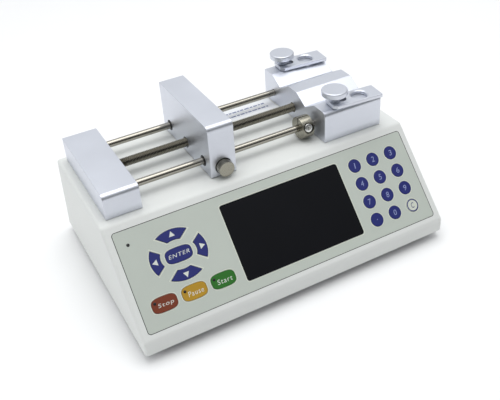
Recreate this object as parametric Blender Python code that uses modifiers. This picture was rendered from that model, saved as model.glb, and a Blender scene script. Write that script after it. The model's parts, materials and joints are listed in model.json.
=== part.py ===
"""Benchtop syringe pump with a clamp block for two syringes, as separate parts.

Dimensions are in millimetres and become metres when a mesh is stored. +X runs
along the lead screw towards the syringe holder, +Y to the rear and +Z up. The
origin is on the table, under the middle of the case.
"""

import math

import bmesh
import bpy
from mathutils import Matrix, Vector

MM = 0.001
GAP = 0.3  # clearance kept between touching pieces

# Case: a sheet-like shell with a sloped control panel, a flat deck and a leaning rear wall.
CASE_HALF_WIDTH = 140.0
BASE_Z = 6.3
LIP_TOP_Z = 19.5
DECK_Z = 86.0
FRONT_Y = -96.65
DECK_FRONT_Y = -32.35
DECK_REAR_Y = 81.35
REAR_Y = 97.14
WALL = 3.0
CASE_EDGE_RADIUS = 2.6
BASE_PLATE_THICKNESS = 2.0
FOOT_RADIUS = 8.0
FOOT_HEIGHT = 6.0
FOOT_X = 118.0
FOOT_Y = 78.0

# Control panel. Its places are (across, down the slope from the deck's front edge).
OVERLAY_HALF_WIDTH = 133.65
OVERLAY_TOP = 6.7
OVERLAY_BOTTOM = 86.7
OVERLAY_THICKNESS = 1.0
OVERLAY_CORNER = 2.5
SCREEN_LEFT = -46.3
SCREEN_RIGHT = 64.0
SCREEN_TOP = 15.0
SCREEN_BOTTOM = 78.0
SCREEN_CORNER = 2.0
SCREEN_LEDGE = 2.0
MODULE_MARGIN = 3.5
MODULE_THICKNESS = 6.0
KEY_OPENING_LEFT = -128.0
KEY_OPENING_RIGHT = 129.0
KEY_OPENING_SPAN = (11.5, 82.0)
SCREEN_FRAME = 4.5
BOARD_HALF_WIDTH = 131.0
BOARD_SPAN = (4.0, 89.0)
BOARD_THICKNESS = 1.6
KEY_FOOT = -3.2  # inner end of a key, below the panel's face
KEY_PROUD = 0.4
KEY_TRAVEL = 0.5
NUMBER_KEY_RADIUS = 5.75
NUMBER_KEY_FIRST = (80.2, 22.5)
NUMBER_KEY_PITCH = (18.6, 16.4)
ARROW_CENTRE = (-90.4, 38.6)
ARROW_OUTER = (23.4, 20.2)
ARROW_INNER = (15.2, 11.8)
ARROW_KEYS = {"key_up": (90, 33, 20), "key_down": (270, 33, 20), "key_right": (0, 28.5, 24),
              "key_left": (180, 28.5, 24)}  # direction, and half its angle outside and inside
ENTER_SIZE = (21.6, 11.4)
RUN_KEY_SIZE = (20.4, 11.6)
BARREL_POWER = 3.3  # how square a barrel-shaped key is; 2 would be an ellipse
RUN_KEY_ROW = 69.2
RUN_KEY_X = {"key_stop": -114.2, "key_pause": -89.4, "key_start": -64.7}

# Drive line.
AXIS_Z = 97.0
SCREW_Y = 26.8
ROD_SPACING = 67.5
ROD_FRONT_Y = SCREW_Y - ROD_SPACING / 2
ROD_REAR_Y = SCREW_Y + ROD_SPACING / 2
ROD_RADIUS = 3.0
SCREW_RADIUS = 4.0
ROD_START_X = -126.0
ROD_END_X = 90.0
SCREW_START_X = -123.5
SCREW_END_X = 78.0
BEARING_RADIUS = 8.0
BEARING_WIDTH = 4.7

REAR_TOP_RADIUS = 1.5
FRONT_TOP_RADIUS = 4.5
BLOCK_CORNERS = (0, 0, REAR_TOP_RADIUS, FRONT_TOP_RADIUS)
END_X = (-132.4, -102.4)
END_Y = (-25.45, 74.95)
END_TOP_Z = 108.1
END_POCKET_X = (-129.0, -107.7)
END_POCKET_HALF_Y = 14.0
END_POCKET_TOP_Z = 106.2

PULLEY_X = -118.0
PULLEY_WIDTH = 8.6
PULLEY_FLANGE_RADIUS = 8.0
PULLEY_BELT_RADIUS = 6.0
FLANGE_THICKNESS = 1.0
BELT_WIDTH = 6.0
BELT_THICKNESS = 1.0
MOTOR_Z = 57.0
MOTOR_SIZE = 42.3
MOTOR_X = (-105.0, -65.0)
MOTOR_SHAFT_RADIUS = 2.5
MOTOR_BOSS_RADIUS = 11.0
MOTOR_CORNER = 4.0
BRACKET_MARGIN = 2.0
BRACKET_TOP_Z = 80.0
BRACKET_THICKNESS = 3.0
BRACKET_FOOT_LENGTH = 20.0

PUSHER_X = (-40.5, -17.7)
PUSHER_Y = (-20.45, 74.95)
PUSHER_Z = (87.0, 133.5)
BUSH_RADIUS = 4.6
BUSH_PROUD = 0.4
SCREW_CLEARANCE_RADIUS = 5.0
NUT_POCKET_Y = (15.9, 39.9)
NUT_Y = (16.4, 36.4)
NUT_Z = (88.0, 105.0)
NUT_POCKET_MARGIN = 3.0
BUTTON_X = -29.0
BUTTON_Z = 95.2
BUTTON_RADIUS = 6.8
BUTTON_FRONT_Y = -27.05
BUTTON_BACK_Y = -18.0
BUTTON_TRAVEL = 2.6
BUTTON_BORE_RADIUS = 7.4
BUTTON_BORE_END_Y = -12.9
STEM_RADIUS = 1.2
STEM_Z = 89.9
SPRING_RADIUS = 3.0
SPRING_WIRE = 0.25
SPRING_TURNS = 3.0

# Syringe holder and its two clamps.
HOLDER_X = (65.0, 122.3)
HOLDER_Y = (-25.35, 76.55)
HOLDER_TOP_Z = 114.9
GROOVE_BOTTOM_Z = 106.8
GROOVE_RADIUS = 1.5
FRONT_GROOVE_Y = (-8.05, 20.05)
REAR_GROOVE_Y = (34.25, 62.85)
CLAMP_X = 80.0
CLAMP_FRONT_Y = -16.75
CLAMP_REAR_Y = 69.45
CLAMP_THICKNESS = 3.2
CLAMP_REACH = (-5.0, 42.0)
CLAMP_HALF_WIDTH = 9.5
CLAMP_CHAMFER = 3.2
CLAMP_SLOT_HALF_WIDTH = 3.8
CLAMP_SLOT_LENGTH = 7.5
CLAMP_HOLE_RADIUS = 7.0
CLAMP_HOLE_X = 24.0
CLAMP_REST_ANGLE = math.radians(-4.5)
THUMB_RADIUS = 11.15
THUMB_TOP_Z = 130.0
THUMB_THREAD_RADIUS = 3.0
THUMB_END_Z = 100.0

COLLAR_X = (49.6, 60.4)
COLLAR_RADIUS = 10.0
COLLAR_SLIT = 1.0
COLLAR_SCREW_TILT = math.radians(18.0)
COLLAR_SCREW_HEAD_RADIUS = 3.75
COLLAR_SCREW_SHANK_RADIUS = 1.8
COLLAR_SCREW_SEAT = 5.0  # these are distances from the rod's axis
COLLAR_SCREW_TOP = 9.4
COLLAR_SCREW_END = 3.8
COLLAR_SOCKET_FLOOR = 6.6
COLLAR_SOCKET_RADIUS = 1.7

# Rear panel. Its places are (towards -X, up the rear wall from the bottom edge).
REAR_PANEL_HALF_WIDTH = 95.0
REAR_PANEL_SPAN = (16.0, 64.0)
REAR_PANEL_THICKNESS = 1.5
REAR_PANEL_LEDGE = 3.0
REAR_ROW = 40.0
INLET_CENTRE = 60.0
INLET_FLANGE = (54.0, 30.0)
INLET_BODY = (49.0, 25.0)
INLET_DEPTH = 21.0
SOCKET_SHIFT = -11.0
SOCKET_SIZE = (24.0, 17.0)
SOCKET_DEPTH = 16.0
ROCKER_SHIFT = 15.5
ROCKER_BAY = (11.0, 19.4)
ROCKER_BAY_DEPTH = 9.0
ROCKER_PIVOT_DEPTH = 1.5
ROCKER_REST_ANGLE = math.radians(-7.5)
CONNECTOR_CENTRE = -25.0
CONNECTOR_FLANGE = (31.0, 12.5)
CONNECTOR_FLANGE_FACE = 1.3
CONNECTOR_BODY = (19.0, 9.0)
CONNECTOR_DEPTH = 9.0
SHROUD_HALF_WIDTH = (7.0, 8.5)
SHROUD_HALF_HEIGHT = 4.2
SHROUD_WALL = 0.6
SHROUD_FACE = 5.0
INLET_FACE = 2.0
SOCKET_PINS = ((-7.0, -1.5), (0.0, 2.5), (7.0, -1.5))
PIN_SIZE = (2.0, 4.0)
HINGE_PIN_REACH = 6.3
HINGE_PIN_RADIUS = 1.0
ROCKER_LIP_Z = 3.0
ROCKER_WAIST_Z = 1.9
ROCKER_FOOT = (4.0, -5.0)

# Electronics on the base plate, as (x, y).
SUPPLY_LOW = (-58.0, -5.0)
SUPPLY_HIGH = (38.0, 62.0)
SUPPLY_HEIGHT = 30.0
MAIN_BOARD_LOW = (48.0, -55.0)
MAIN_BOARD_HIGH = (130.0, 60.0)
POST_HEIGHT = 5.0
POST_RADIUS = 2.5
POST_INSET = 4.0
BOARD_BLOCKS = (((60.0, -30.0), (78.0, -12.0), 3.0), ((90.0, 20.0), (120.0, 35.0), 9.0),
                ((55.0, 30.0), (75.0, 50.0), 6.0))  # low corner, high corner and height

FINISHES = {
    "case": ((233, 236, 234), 0.0, 0.5),
    "overlay": ((180, 192, 182), 0.0, 0.5),
    "glass": ((26, 27, 32), 0.0, 0.15),
    "blue key": ((38, 46, 132), 0.0, 0.4),
    "pale key": ((216, 220, 210), 0.0, 0.4),
    "stop key": ((122, 52, 24), 0.0, 0.4),
    "pause key": ((185, 143, 32), 0.0, 0.4),
    "start key": ((43, 122, 30), 0.0, 0.4),
    "blasted aluminium": ((201, 205, 214), 1.0, 0.45),
    "steel": ((190, 190, 188), 1.0, 0.2),
    "dark steel": ((90, 88, 86), 1.0, 0.4),
    "stainless": ((170, 170, 158), 1.0, 0.3),
    "brass": ((180, 150, 80), 1.0, 0.35),
    "black plastic": ((24, 24, 26), 0.0, 0.45),
    "black rubber": ((20, 20, 20), 0.0, 0.8),
    "sheet steel": ((175, 178, 180), 1.0, 0.4),
    "circuit board": ((20, 80, 50), 0.0, 0.5),
}


def new_collection(name):
    collection = bpy.data.collections.new(name)
    bpy.context.scene.collection.children.link(collection)
    return collection


def clear_scene():
    for obj in list(bpy.context.scene.objects):
        bpy.data.objects.remove(obj, do_unlink=True)


clear_scene()
PARTS = new_collection("syringe_pump")
CUTTERS = new_collection("cutters")


# ---- Building blocks ----

def linear(value):
    value /= 255
    return value / 12.92 if value <= 0.04045 else ((value + 0.055) / 1.055) ** 2.4


def new_material(name, finish):
    colour, metallic, roughness = FINISHES[finish]
    material = bpy.data.materials.new(name)
    material.use_nodes = True
    shader = material.node_tree.nodes["Principled BSDF"]
    shader.inputs["Base Color"].default_value = (*(linear(value) for value in colour), 1)
    shader.inputs["Metallic"].default_value = metallic
    shader.inputs["Roughness"].default_value = roughness
    return material


def arc(centre, radius, start, end, steps):
    """Points on a circle, or on an ellipse if radius is a pair, between two angles in degrees."""
    across, up = radius if isinstance(radius, tuple) else (radius, radius)
    angles = [math.radians(start + (end - start) * i / steps) for i in range(steps + 1)]
    return [(centre[0] + across * math.cos(a), centre[1] + up * math.sin(a)) for a in angles]


def circle(centre, radius, sides=24):
    return arc(centre, radius, 0, 360, sides)[:-1]


def rounded_rectangle(centre, size, radius, steps=4):
    half_x = size[0] / 2 - radius
    half_y = size[1] / 2 - radius
    points = []
    for x, y, start in ((half_x, half_y, 0), (-half_x, half_y, 90),
                        (-half_x, -half_y, 180), (half_x, -half_y, 270)):
        points += arc((centre[0] + x, centre[1] + y), radius, start, start + 90, steps)
    return points


def barrel(centre, size, grow, sides=36):
    """A superellipse: a rectangle with bulging sides and soft corners, larger by grow all round."""
    points = []
    for i in range(sides):
        angle = math.tau * i / sides
        across = math.copysign(abs(math.cos(angle)) ** (2 / BARREL_POWER), math.cos(angle))
        up = math.copysign(abs(math.sin(angle)) ** (2 / BARREL_POWER), math.sin(angle))
        points.append((centre[0] + (size[0] / 2 + grow) * across, centre[1] + (size[1] / 2 + grow) * up))
    return points


def slot_outline(first, second, radius, steps=8):
    """A slot with round ends, running upwards or to the right from first to second."""
    along = math.degrees(math.atan2(second[1] - first[1], second[0] - first[0]))
    return (arc(second, radius, along - 90, along + 90, steps)
            + arc(first, radius, along + 90, along + 270, steps))


def rounded_corners(points, radii, steps=4):
    """An outline whose corners are arcs of the given radii; a zero radius keeps the corner."""
    outline = []
    for i, point in enumerate(points):
        corner = Vector(point)
        before = (Vector(points[i - 1]) - corner).normalized()
        after = (Vector(points[(i + 1) % len(points)]) - corner).normalized()
        if not radii[i]:
            outline.append(tuple(corner))
            continue
        half_angle = before.angle(after) / 2
        middle = corner + (before + after).normalized() * radii[i] / math.sin(half_angle)
        first = (corner + before * radii[i] / math.tan(half_angle) - middle).normalized()
        last = (corner + after * radii[i] / math.tan(half_angle) - middle).normalized()
        for step in range(steps + 1):
            outline.append(tuple(middle + first.slerp(last, step / steps) * radii[i]))
    return outline


def inset(points, distance):
    """A convex outline, given anticlockwise, moved inwards by distance."""
    lines = []
    for i, point in enumerate(points):
        start = Vector(point)
        along = (Vector(points[(i + 1) % len(points)]) - start).normalized()
        lines.append((start + Vector((-along.y, along.x)) * distance, along))
    moved = []
    for i, (start, along) in enumerate(lines):
        other, other_along = lines[i - 1]
        offset = (start - other).cross(along) / other_along.cross(along)
        moved.append(tuple(other + other_along * offset))
    return moved


def box(low, high):
    shape = bmesh.new()
    bmesh.ops.create_cube(shape, size=1)
    size = Vector(high) - Vector(low)
    bmesh.ops.scale(shape, vec=size, verts=shape.verts)
    bmesh.ops.translate(shape, vec=Vector(low) + size / 2, verts=shape.verts)
    return shape


def cylinder(start, end, radius, sides=24):
    start = Vector(start)
    along = Vector(end) - start
    turn = Vector((0, 0, 1)).rotation_difference(along).to_matrix().to_4x4()
    place = Matrix.Translation(start + along / 2) @ turn
    shape = bmesh.new()
    bmesh.ops.create_cone(shape, cap_ends=True, segments=sides, radius1=radius,
                          radius2=radius, depth=along.length, matrix=place)
    return shape


def prism(outline, axis, start, end):
    """An outline extruded along X, given as (y, z), or along Z, given as (x, y)."""
    shape = bmesh.new()
    if axis == "X":
        corners = [Vector((start, *point)) for point in outline]
    else:
        corners = [Vector((*point, start)) for point in outline]
    face = shape.faces.new([shape.verts.new(corner) for corner in corners])
    made = bmesh.ops.extrude_face_region(shape, geom=[face])
    top = [item for item in made["geom"] if isinstance(item, bmesh.types.BMVert)]
    along = Vector((1, 0, 0)) if axis == "X" else Vector((0, 0, 1))
    bmesh.ops.translate(shape, vec=along * (end - start), verts=top)
    bmesh.ops.recalc_face_normals(shape, faces=shape.faces)
    return shape


def together(*shapes):
    """Several shapes in one mesh, for a cutter that makes several holes."""
    joined = bmesh.new()
    for shape in shapes:
        mesh = bpy.data.meshes.new("shape")
        shape.to_mesh(mesh)
        shape.free()
        joined.from_mesh(mesh)
        bpy.data.meshes.remove(mesh)
    return joined


def store(name, shape, origin, collection, parent):
    bmesh.ops.translate(shape, vec=-Vector(origin), verts=shape.verts)
    bmesh.ops.scale(shape, vec=(MM, MM, MM), verts=shape.verts)
    mesh = bpy.data.meshes.new(name)
    shape.to_mesh(mesh)
    shape.free()
    obj = bpy.data.objects.new(name, mesh)
    obj.location = Vector(origin) * MM
    obj.parent = parent
    collection.objects.link(obj)
    return obj


def add_part(name, shape, finish, origin=(0, 0, 0), parent=None):
    part = store(name, shape, origin, PARTS, parent)
    part.data.materials.append(new_material(name, finish))
    part.data.shade_smooth()
    part.data.set_sharp_from_angle(angle=math.radians(35))
    return part


def boolean(part, shape, operation):
    cutter = store(part.name + "_cutter", shape, (0, 0, 0), CUTTERS, part.parent)
    cutter.hide_render = True
    cutter.display_type = "WIRE"
    modifier = part.modifiers.new(operation.lower(), "BOOLEAN")
    modifier.operation = operation
    modifier.solver = "EXACT"
    modifier.object = cutter
    return cutter


def cut(part, *shapes):
    return boolean(part, together(*shapes), "DIFFERENCE")


def join(part, *shapes):
    for shape in shapes:
        boolean(part, shape, "UNION")


def round_edges(part, radius, segments=2):
    modifier = part.modifiers.new("rounded edges", "BEVEL")
    modifier.width = radius * MM
    modifier.segments = segments
    modifier.limit_method = "ANGLE"
    modifier.angle_limit = math.radians(50)


def turned(name, profile, finish, origin, parent=None, sides=24):
    """A piece turned about Z: profile runs as (radius, height) down its outer side."""
    shape = bmesh.new()
    corners = [shape.verts.new((radius, 0, height)) for radius, height in profile]
    for first, second in zip(corners, corners[1:]):
        shape.edges.new((first, second))
    bmesh.ops.translate(shape, vec=Vector(origin), verts=shape.verts)
    part = add_part(name, shape, finish, origin, parent)
    screw = part.modifiers.new("turned", "SCREW")
    screw.axis = "Z"
    screw.steps = sides
    screw.render_steps = sides
    screw.use_merge_vertices = True
    screw.merge_threshold = 0.00001
    screw.use_smooth_shade = True
    return part


def frame(name, origin, across, up, outwards):
    """An empty whose local axes are across, up and outwards."""
    empty = bpy.data.objects.new(name, None)
    turn = Matrix((across, up, outwards)).transposed().to_4x4()
    empty.matrix_world = Matrix.Translation(Vector(origin) * MM) @ turn
    PARTS.objects.link(empty)
    return empty


# ---- Case ----

CASE_PROFILE = [(FRONT_Y, BASE_Z), (REAR_Y, BASE_Z), (DECK_REAR_Y, DECK_Z),
                (DECK_FRONT_Y, DECK_Z), (FRONT_Y, LIP_TOP_Z)]
SLOPE_DOWN = Vector((0, FRONT_Y - DECK_FRONT_Y, LIP_TOP_Z - DECK_Z)).normalized()
SLOPE_OUT = Vector((0, SLOPE_DOWN.z, -SLOPE_DOWN.y))
REAR_UP = Vector((0, DECK_REAR_Y - REAR_Y, DECK_Z - BASE_Z)).normalized()
REAR_OUT = Vector((0, REAR_UP.z, -REAR_UP.y))
PANEL = frame("panel_frame", (0, DECK_FRONT_Y, DECK_Z), Vector((1, 0, 0)), -SLOPE_DOWN, SLOPE_OUT)
REAR = frame("rear_frame", (0, REAR_Y, BASE_Z), Vector((-1, 0, 0)), REAR_UP, REAR_OUT)


def panel_box(left, right, top, bottom, low, high):
    """A box on the control panel, from top to bottom down the slope."""
    return box((left, -bottom, low), (right, -top, high))


def slot_over_belt(low, high):
    half = PULLEY_FLANGE_RADIUS + 0.6
    return box((PULLEY_X - 4.5, SCREW_Y - half, low), (PULLEY_X + 4.5, SCREW_Y + half, high))


def build_case():
    solid = prism(CASE_PROFILE, "X", -CASE_HALF_WIDTH, CASE_HALF_WIDTH)
    shell = add_part("housing_shell", solid, "case")
    round_edges(shell, CASE_EDGE_RADIUS, 3)
    hollow = inset(CASE_PROFILE, WALL)
    below = BASE_Z - 5
    rear_y = hollow[1][0]
    hollow[:1] = [(hollow[0][0], below), (rear_y, below)]
    inner_half = CASE_HALF_WIDTH - WALL
    cut(shell, prism(hollow, "X", -inner_half, inner_half))
    cut(shell, slot_over_belt(DECK_Z - WALL - 1, DECK_Z + 1))

    middle = -(OVERLAY_TOP + OVERLAY_BOTTOM) / 2
    pocket_size = (2 * OVERLAY_HALF_WIDTH + 2 * GAP, OVERLAY_BOTTOM - OVERLAY_TOP + 2 * GAP)
    pocket_floor = -OVERLAY_THICKNESS - GAP
    pocket = prism(rounded_rectangle((0, middle), pocket_size, OVERLAY_CORNER), "Z", pocket_floor, 3)
    through = (-WALL - 1, pocket_floor + 0.5)
    screen_hole = panel_box(SCREEN_LEFT + SCREEN_LEDGE, SCREEN_RIGHT - SCREEN_LEDGE,
                            SCREEN_TOP + SCREEN_LEDGE, SCREEN_BOTTOM - SCREEN_LEDGE, *through)
    left_hole = panel_box(KEY_OPENING_LEFT, SCREEN_LEFT - SCREEN_FRAME, *KEY_OPENING_SPAN, *through)
    right_hole = panel_box(SCREEN_RIGHT + SCREEN_FRAME, KEY_OPENING_RIGHT, *KEY_OPENING_SPAN, *through)
    for shape in (pocket, together(screen_hole, left_hole, right_hole)):
        cut(shell, shape).parent = PANEL

    low, high = REAR_PANEL_SPAN
    rear_middle = (0, (low + high) / 2)
    outer = (2 * REAR_PANEL_HALF_WIDTH + 2 * GAP, high - low + 2 * GAP)
    inner = (outer[0] - 2 * REAR_PANEL_LEDGE, outer[1] - 2 * REAR_PANEL_LEDGE)
    floor = -REAR_PANEL_THICKNESS - GAP
    rebate = prism(rounded_rectangle(rear_middle, outer, 2), "Z", floor, 3)
    opening = prism(rounded_rectangle(rear_middle, inner, 2), "Z", -WALL - 2, floor + 0.5)
    for shape in (rebate, opening):
        cut(shell, shape).parent = REAR

    plate_half = inner_half - GAP
    plate = box((-plate_half, FRONT_Y + WALL + GAP, BASE_Z),
                (plate_half, rear_y - GAP, BASE_Z + BASE_PLATE_THICKNESS))
    add_part("base_plate", plate, "sheet steel")

    foot = [(0, FOOT_HEIGHT), (FOOT_RADIUS, FOOT_HEIGHT), (FOOT_RADIUS, 1), (FOOT_RADIUS - 1, 0), (0, 0)]
    for name, x, y in (("foot_front_left", -1, -1), ("foot_front_right", 1, -1),
                       ("foot_rear_left", -1, 1), ("foot_rear_right", 1, 1)):
        turned(name, foot, "black rubber", (x * FOOT_X, y * FOOT_Y, 0), sides=20)


# ---- Control panel ----

def number_key_places():
    names = ["key_1", "key_2", "key_3", "key_4", "key_5", "key_6",
             "key_7", "key_8", "key_9", "key_dot", "key_0", "key_clear"]
    first_x, first_v = NUMBER_KEY_FIRST
    pitch_x, pitch_v = NUMBER_KEY_PITCH
    return {name: (first_x + pitch_x * (i % 3), first_v + pitch_v * (i // 3))
            for i, name in enumerate(names)}


def arrow_outline(middle_angle, outer_half, inner_half, grow):
    """One quarter of the arrow ring, centred on middle_angle, wider at its outer side."""
    centre = (ARROW_CENTRE[0], -ARROW_CENTRE[1])
    outer = (ARROW_OUTER[0] + grow, ARROW_OUTER[1] + grow)
    inner = (ARROW_INNER[0] - grow, ARROW_INNER[1] - grow)
    spread = math.degrees(grow / ARROW_INNER[1])
    outer_half += spread
    inner_half += spread
    return (arc(centre, outer, middle_angle - outer_half, middle_angle + outer_half, 10)
            + arc(centre, inner, middle_angle + inner_half, middle_angle - inner_half, 8))


def key_outlines(grow):
    """Each key's outline on the panel as (x, up the slope), larger by grow all round."""
    outlines = {name: circle((x, -v), NUMBER_KEY_RADIUS + grow, 20)
                for name, (x, v) in number_key_places().items()}
    for name, (direction, outer_half, inner_half) in ARROW_KEYS.items():
        outlines[name] = arrow_outline(direction, outer_half, inner_half, grow)
    outlines["key_enter"] = barrel((ARROW_CENTRE[0], -ARROW_CENTRE[1]), ENTER_SIZE, grow)
    for name, x in RUN_KEY_X.items():
        outlines[name] = barrel((x, -RUN_KEY_ROW), RUN_KEY_SIZE, grow)
    return outlines


KEY_FINISHES = {"key_clear": "pale key", "key_stop": "stop key",
                "key_pause": "pause key", "key_start": "start key"}


def build_control_panel():
    middle = -(OVERLAY_TOP + OVERLAY_BOTTOM) / 2
    size = (2 * OVERLAY_HALF_WIDTH, OVERLAY_BOTTOM - OVERLAY_TOP)
    overlay_shape = prism(rounded_rectangle((0, middle), size, OVERLAY_CORNER), "Z", -OVERLAY_THICKNESS, 0)
    overlay = add_part("keypad_overlay", overlay_shape, "overlay", parent=PANEL)
    screen_centre = ((SCREEN_LEFT + SCREEN_RIGHT) / 2, -(SCREEN_TOP + SCREEN_BOTTOM) / 2)
    screen_size = (SCREEN_RIGHT - SCREEN_LEFT, SCREEN_BOTTOM - SCREEN_TOP)
    hole_size = (screen_size[0] + 2 * GAP, screen_size[1] + 2 * GAP)
    hole = rounded_rectangle(screen_centre, hole_size, SCREEN_CORNER + GAP)
    holes = [prism(hole, "Z", -2, 1)]
    holes += [prism(outline, "Z", -2, 1) for outline in key_outlines(GAP).values()]
    cut(overlay, *holes)

    window = prism(rounded_rectangle(screen_centre, screen_size, SCREEN_CORNER), "Z", -OVERLAY_THICKNESS, 0)
    add_part("display_window", window, "glass", parent=PANEL)

    module_back = -WALL - GAP - MODULE_THICKNESS
    module = (SCREEN_LEFT - MODULE_MARGIN + 1, SCREEN_RIGHT + MODULE_MARGIN - 1,
              SCREEN_TOP - MODULE_MARGIN, SCREEN_BOTTOM + MODULE_MARGIN)
    add_part("display_module", panel_box(*module, module_back, -WALL - GAP), "sheet steel", parent=PANEL)

    board_face = KEY_FOOT - KEY_TRAVEL - 0.5
    board_shape = panel_box(-BOARD_HALF_WIDTH, BOARD_HALF_WIDTH, *BOARD_SPAN,
                            board_face - BOARD_THICKNESS, board_face)
    board = add_part("keypad_board", board_shape, "circuit board", parent=PANEL)
    left, right, top, bottom = module
    cut(board, panel_box(left - 0.5, right + 0.5, top - 0.5, bottom + 0.5, -10, 0))

    for name, outline in key_outlines(0).items():
        centre = sum((Vector(point) for point in outline), Vector((0, 0))) / len(outline)
        add_part(name, prism(outline, "Z", KEY_FOOT, KEY_PROUD), KEY_FINISHES.get(name, "blue key"),
                 origin=(*centre, 0), parent=PANEL)


# ---- Drive line ----

def along_x(start, end, y, radius, sides=24, z=AXIS_Z):
    return cylinder((start, y, z), (end, y, z), radius, sides)


def build_end_block():
    foot_z = DECK_Z + GAP
    corners = [(END_Y[0], foot_z), (END_Y[1], foot_z), (END_Y[1], END_TOP_Z), (END_Y[0], END_TOP_Z)]
    profile = rounded_corners(corners, BLOCK_CORNERS)
    block = add_part("end_block", prism(profile, "X", *END_X), "blasted aluminium")
    round_edges(block, 0.4, 1)
    cut(block, box((END_POCKET_X[0], SCREW_Y - END_POCKET_HALF_Y, DECK_Z - 1),
                   (END_POCKET_X[1], SCREW_Y + END_POCKET_HALF_Y, END_POCKET_TOP_Z)))
    cut(block, along_x(END_POCKET_X[1] - 1, END_X[1] + 1, SCREW_Y, BEARING_RADIUS + GAP),
        along_x(ROD_START_X - GAP, END_X[1] + 1, ROD_FRONT_Y, ROD_RADIUS + GAP),
        along_x(ROD_START_X - GAP, END_X[1] + 1, ROD_REAR_Y, ROD_RADIUS + GAP))


def build_bearing(name, start):
    end = start + BEARING_WIDTH
    bearing = add_part(name, along_x(start, end, SCREW_Y, BEARING_RADIUS), "steel")
    cut(bearing, along_x(start - 1, end + 1, SCREW_Y, SCREW_RADIUS + GAP))


def build_pulley(name, z, bore_radius):
    start = PULLEY_X - PULLEY_WIDTH / 2
    end = PULLEY_X + PULLEY_WIDTH / 2
    inner_start = start + FLANGE_THICKNESS
    inner_end = end - FLANGE_THICKNESS
    core = along_x(inner_start - 0.4, inner_end + 0.4, SCREW_Y, PULLEY_BELT_RADIUS, z=z)
    pulley = add_part(name, core, "stainless", origin=(PULLEY_X, SCREW_Y, z))
    join(pulley, along_x(start, inner_start, SCREW_Y, PULLEY_FLANGE_RADIUS, z=z),
         along_x(inner_end, end, SCREW_Y, PULLEY_FLANGE_RADIUS, z=z))
    cut(pulley, along_x(start - 1, end + 1, SCREW_Y, bore_radius, z=z))


def build_belt():
    inner_radius = PULLEY_BELT_RADIUS + GAP
    low = (SCREW_Y, MOTOR_Z)
    high = (SCREW_Y, AXIS_Z)
    half = BELT_WIDTH / 2
    outer = slot_outline(low, high, inner_radius + BELT_THICKNESS)
    belt = add_part("timing_belt", prism(outer, "X", PULLEY_X - half, PULLEY_X + half), "black rubber")
    cut(belt, prism(slot_outline(low, high, inner_radius), "X", PULLEY_X - half - 1, PULLEY_X + half + 1))


def build_motor():
    half = MOTOR_SIZE / 2
    square = rounded_rectangle((SCREW_Y, MOTOR_Z), (MOTOR_SIZE, MOTOR_SIZE), MOTOR_CORNER, 1)
    motor = add_part("stepper_motor", prism(square, "X", *MOTOR_X), "black plastic")
    plate_x = MOTOR_X[0] - GAP - BRACKET_THICKNESS
    join(motor, along_x(plate_x + 0.5, MOTOR_X[0] + 2, SCREW_Y, MOTOR_BOSS_RADIUS, z=MOTOR_Z),
         along_x(PULLEY_X - 5, MOTOR_X[0] + 3, SCREW_Y, MOTOR_SHAFT_RADIUS, 16, z=MOTOR_Z))

    floor = BASE_Z + BASE_PLATE_THICKNESS + GAP
    front_y = SCREW_Y - half - BRACKET_MARGIN
    rear_y = SCREW_Y + half + BRACKET_MARGIN
    face = box((plate_x, front_y, floor), (plate_x + BRACKET_THICKNESS, rear_y, BRACKET_TOP_Z))
    bracket = add_part("motor_bracket", face, "sheet steel")
    join(bracket, box((plate_x + 1, front_y, floor),
                      (plate_x + BRACKET_FOOT_LENGTH, rear_y, floor + BRACKET_THICKNESS)))
    cut(bracket, along_x(plate_x - 1, MOTOR_X[0] + 1, SCREW_Y, MOTOR_BOSS_RADIUS + GAP, z=MOTOR_Z))


def build_drive_line():
    build_end_block()
    build_bearing("end_bearing", END_X[1] - GAP - BEARING_WIDTH)
    build_bearing("holder_bearing", HOLDER_X[0] + GAP)
    for name, y in (("guide_rod_front", ROD_FRONT_Y), ("guide_rod_rear", ROD_REAR_Y)):
        add_part(name, along_x(ROD_START_X, ROD_END_X, y, ROD_RADIUS), "steel", origin=(0, y, AXIS_Z))
    add_part("lead_screw", along_x(SCREW_START_X, SCREW_END_X, SCREW_Y, SCREW_RADIUS), "dark steel",
             origin=(0, SCREW_Y, AXIS_Z))
    build_pulley("screw_pulley", AXIS_Z, SCREW_RADIUS + GAP)
    build_pulley("motor_pulley", MOTOR_Z, MOTOR_SHAFT_RADIUS + GAP)
    build_belt()
    build_motor()


# ---- Pusher ----

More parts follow.
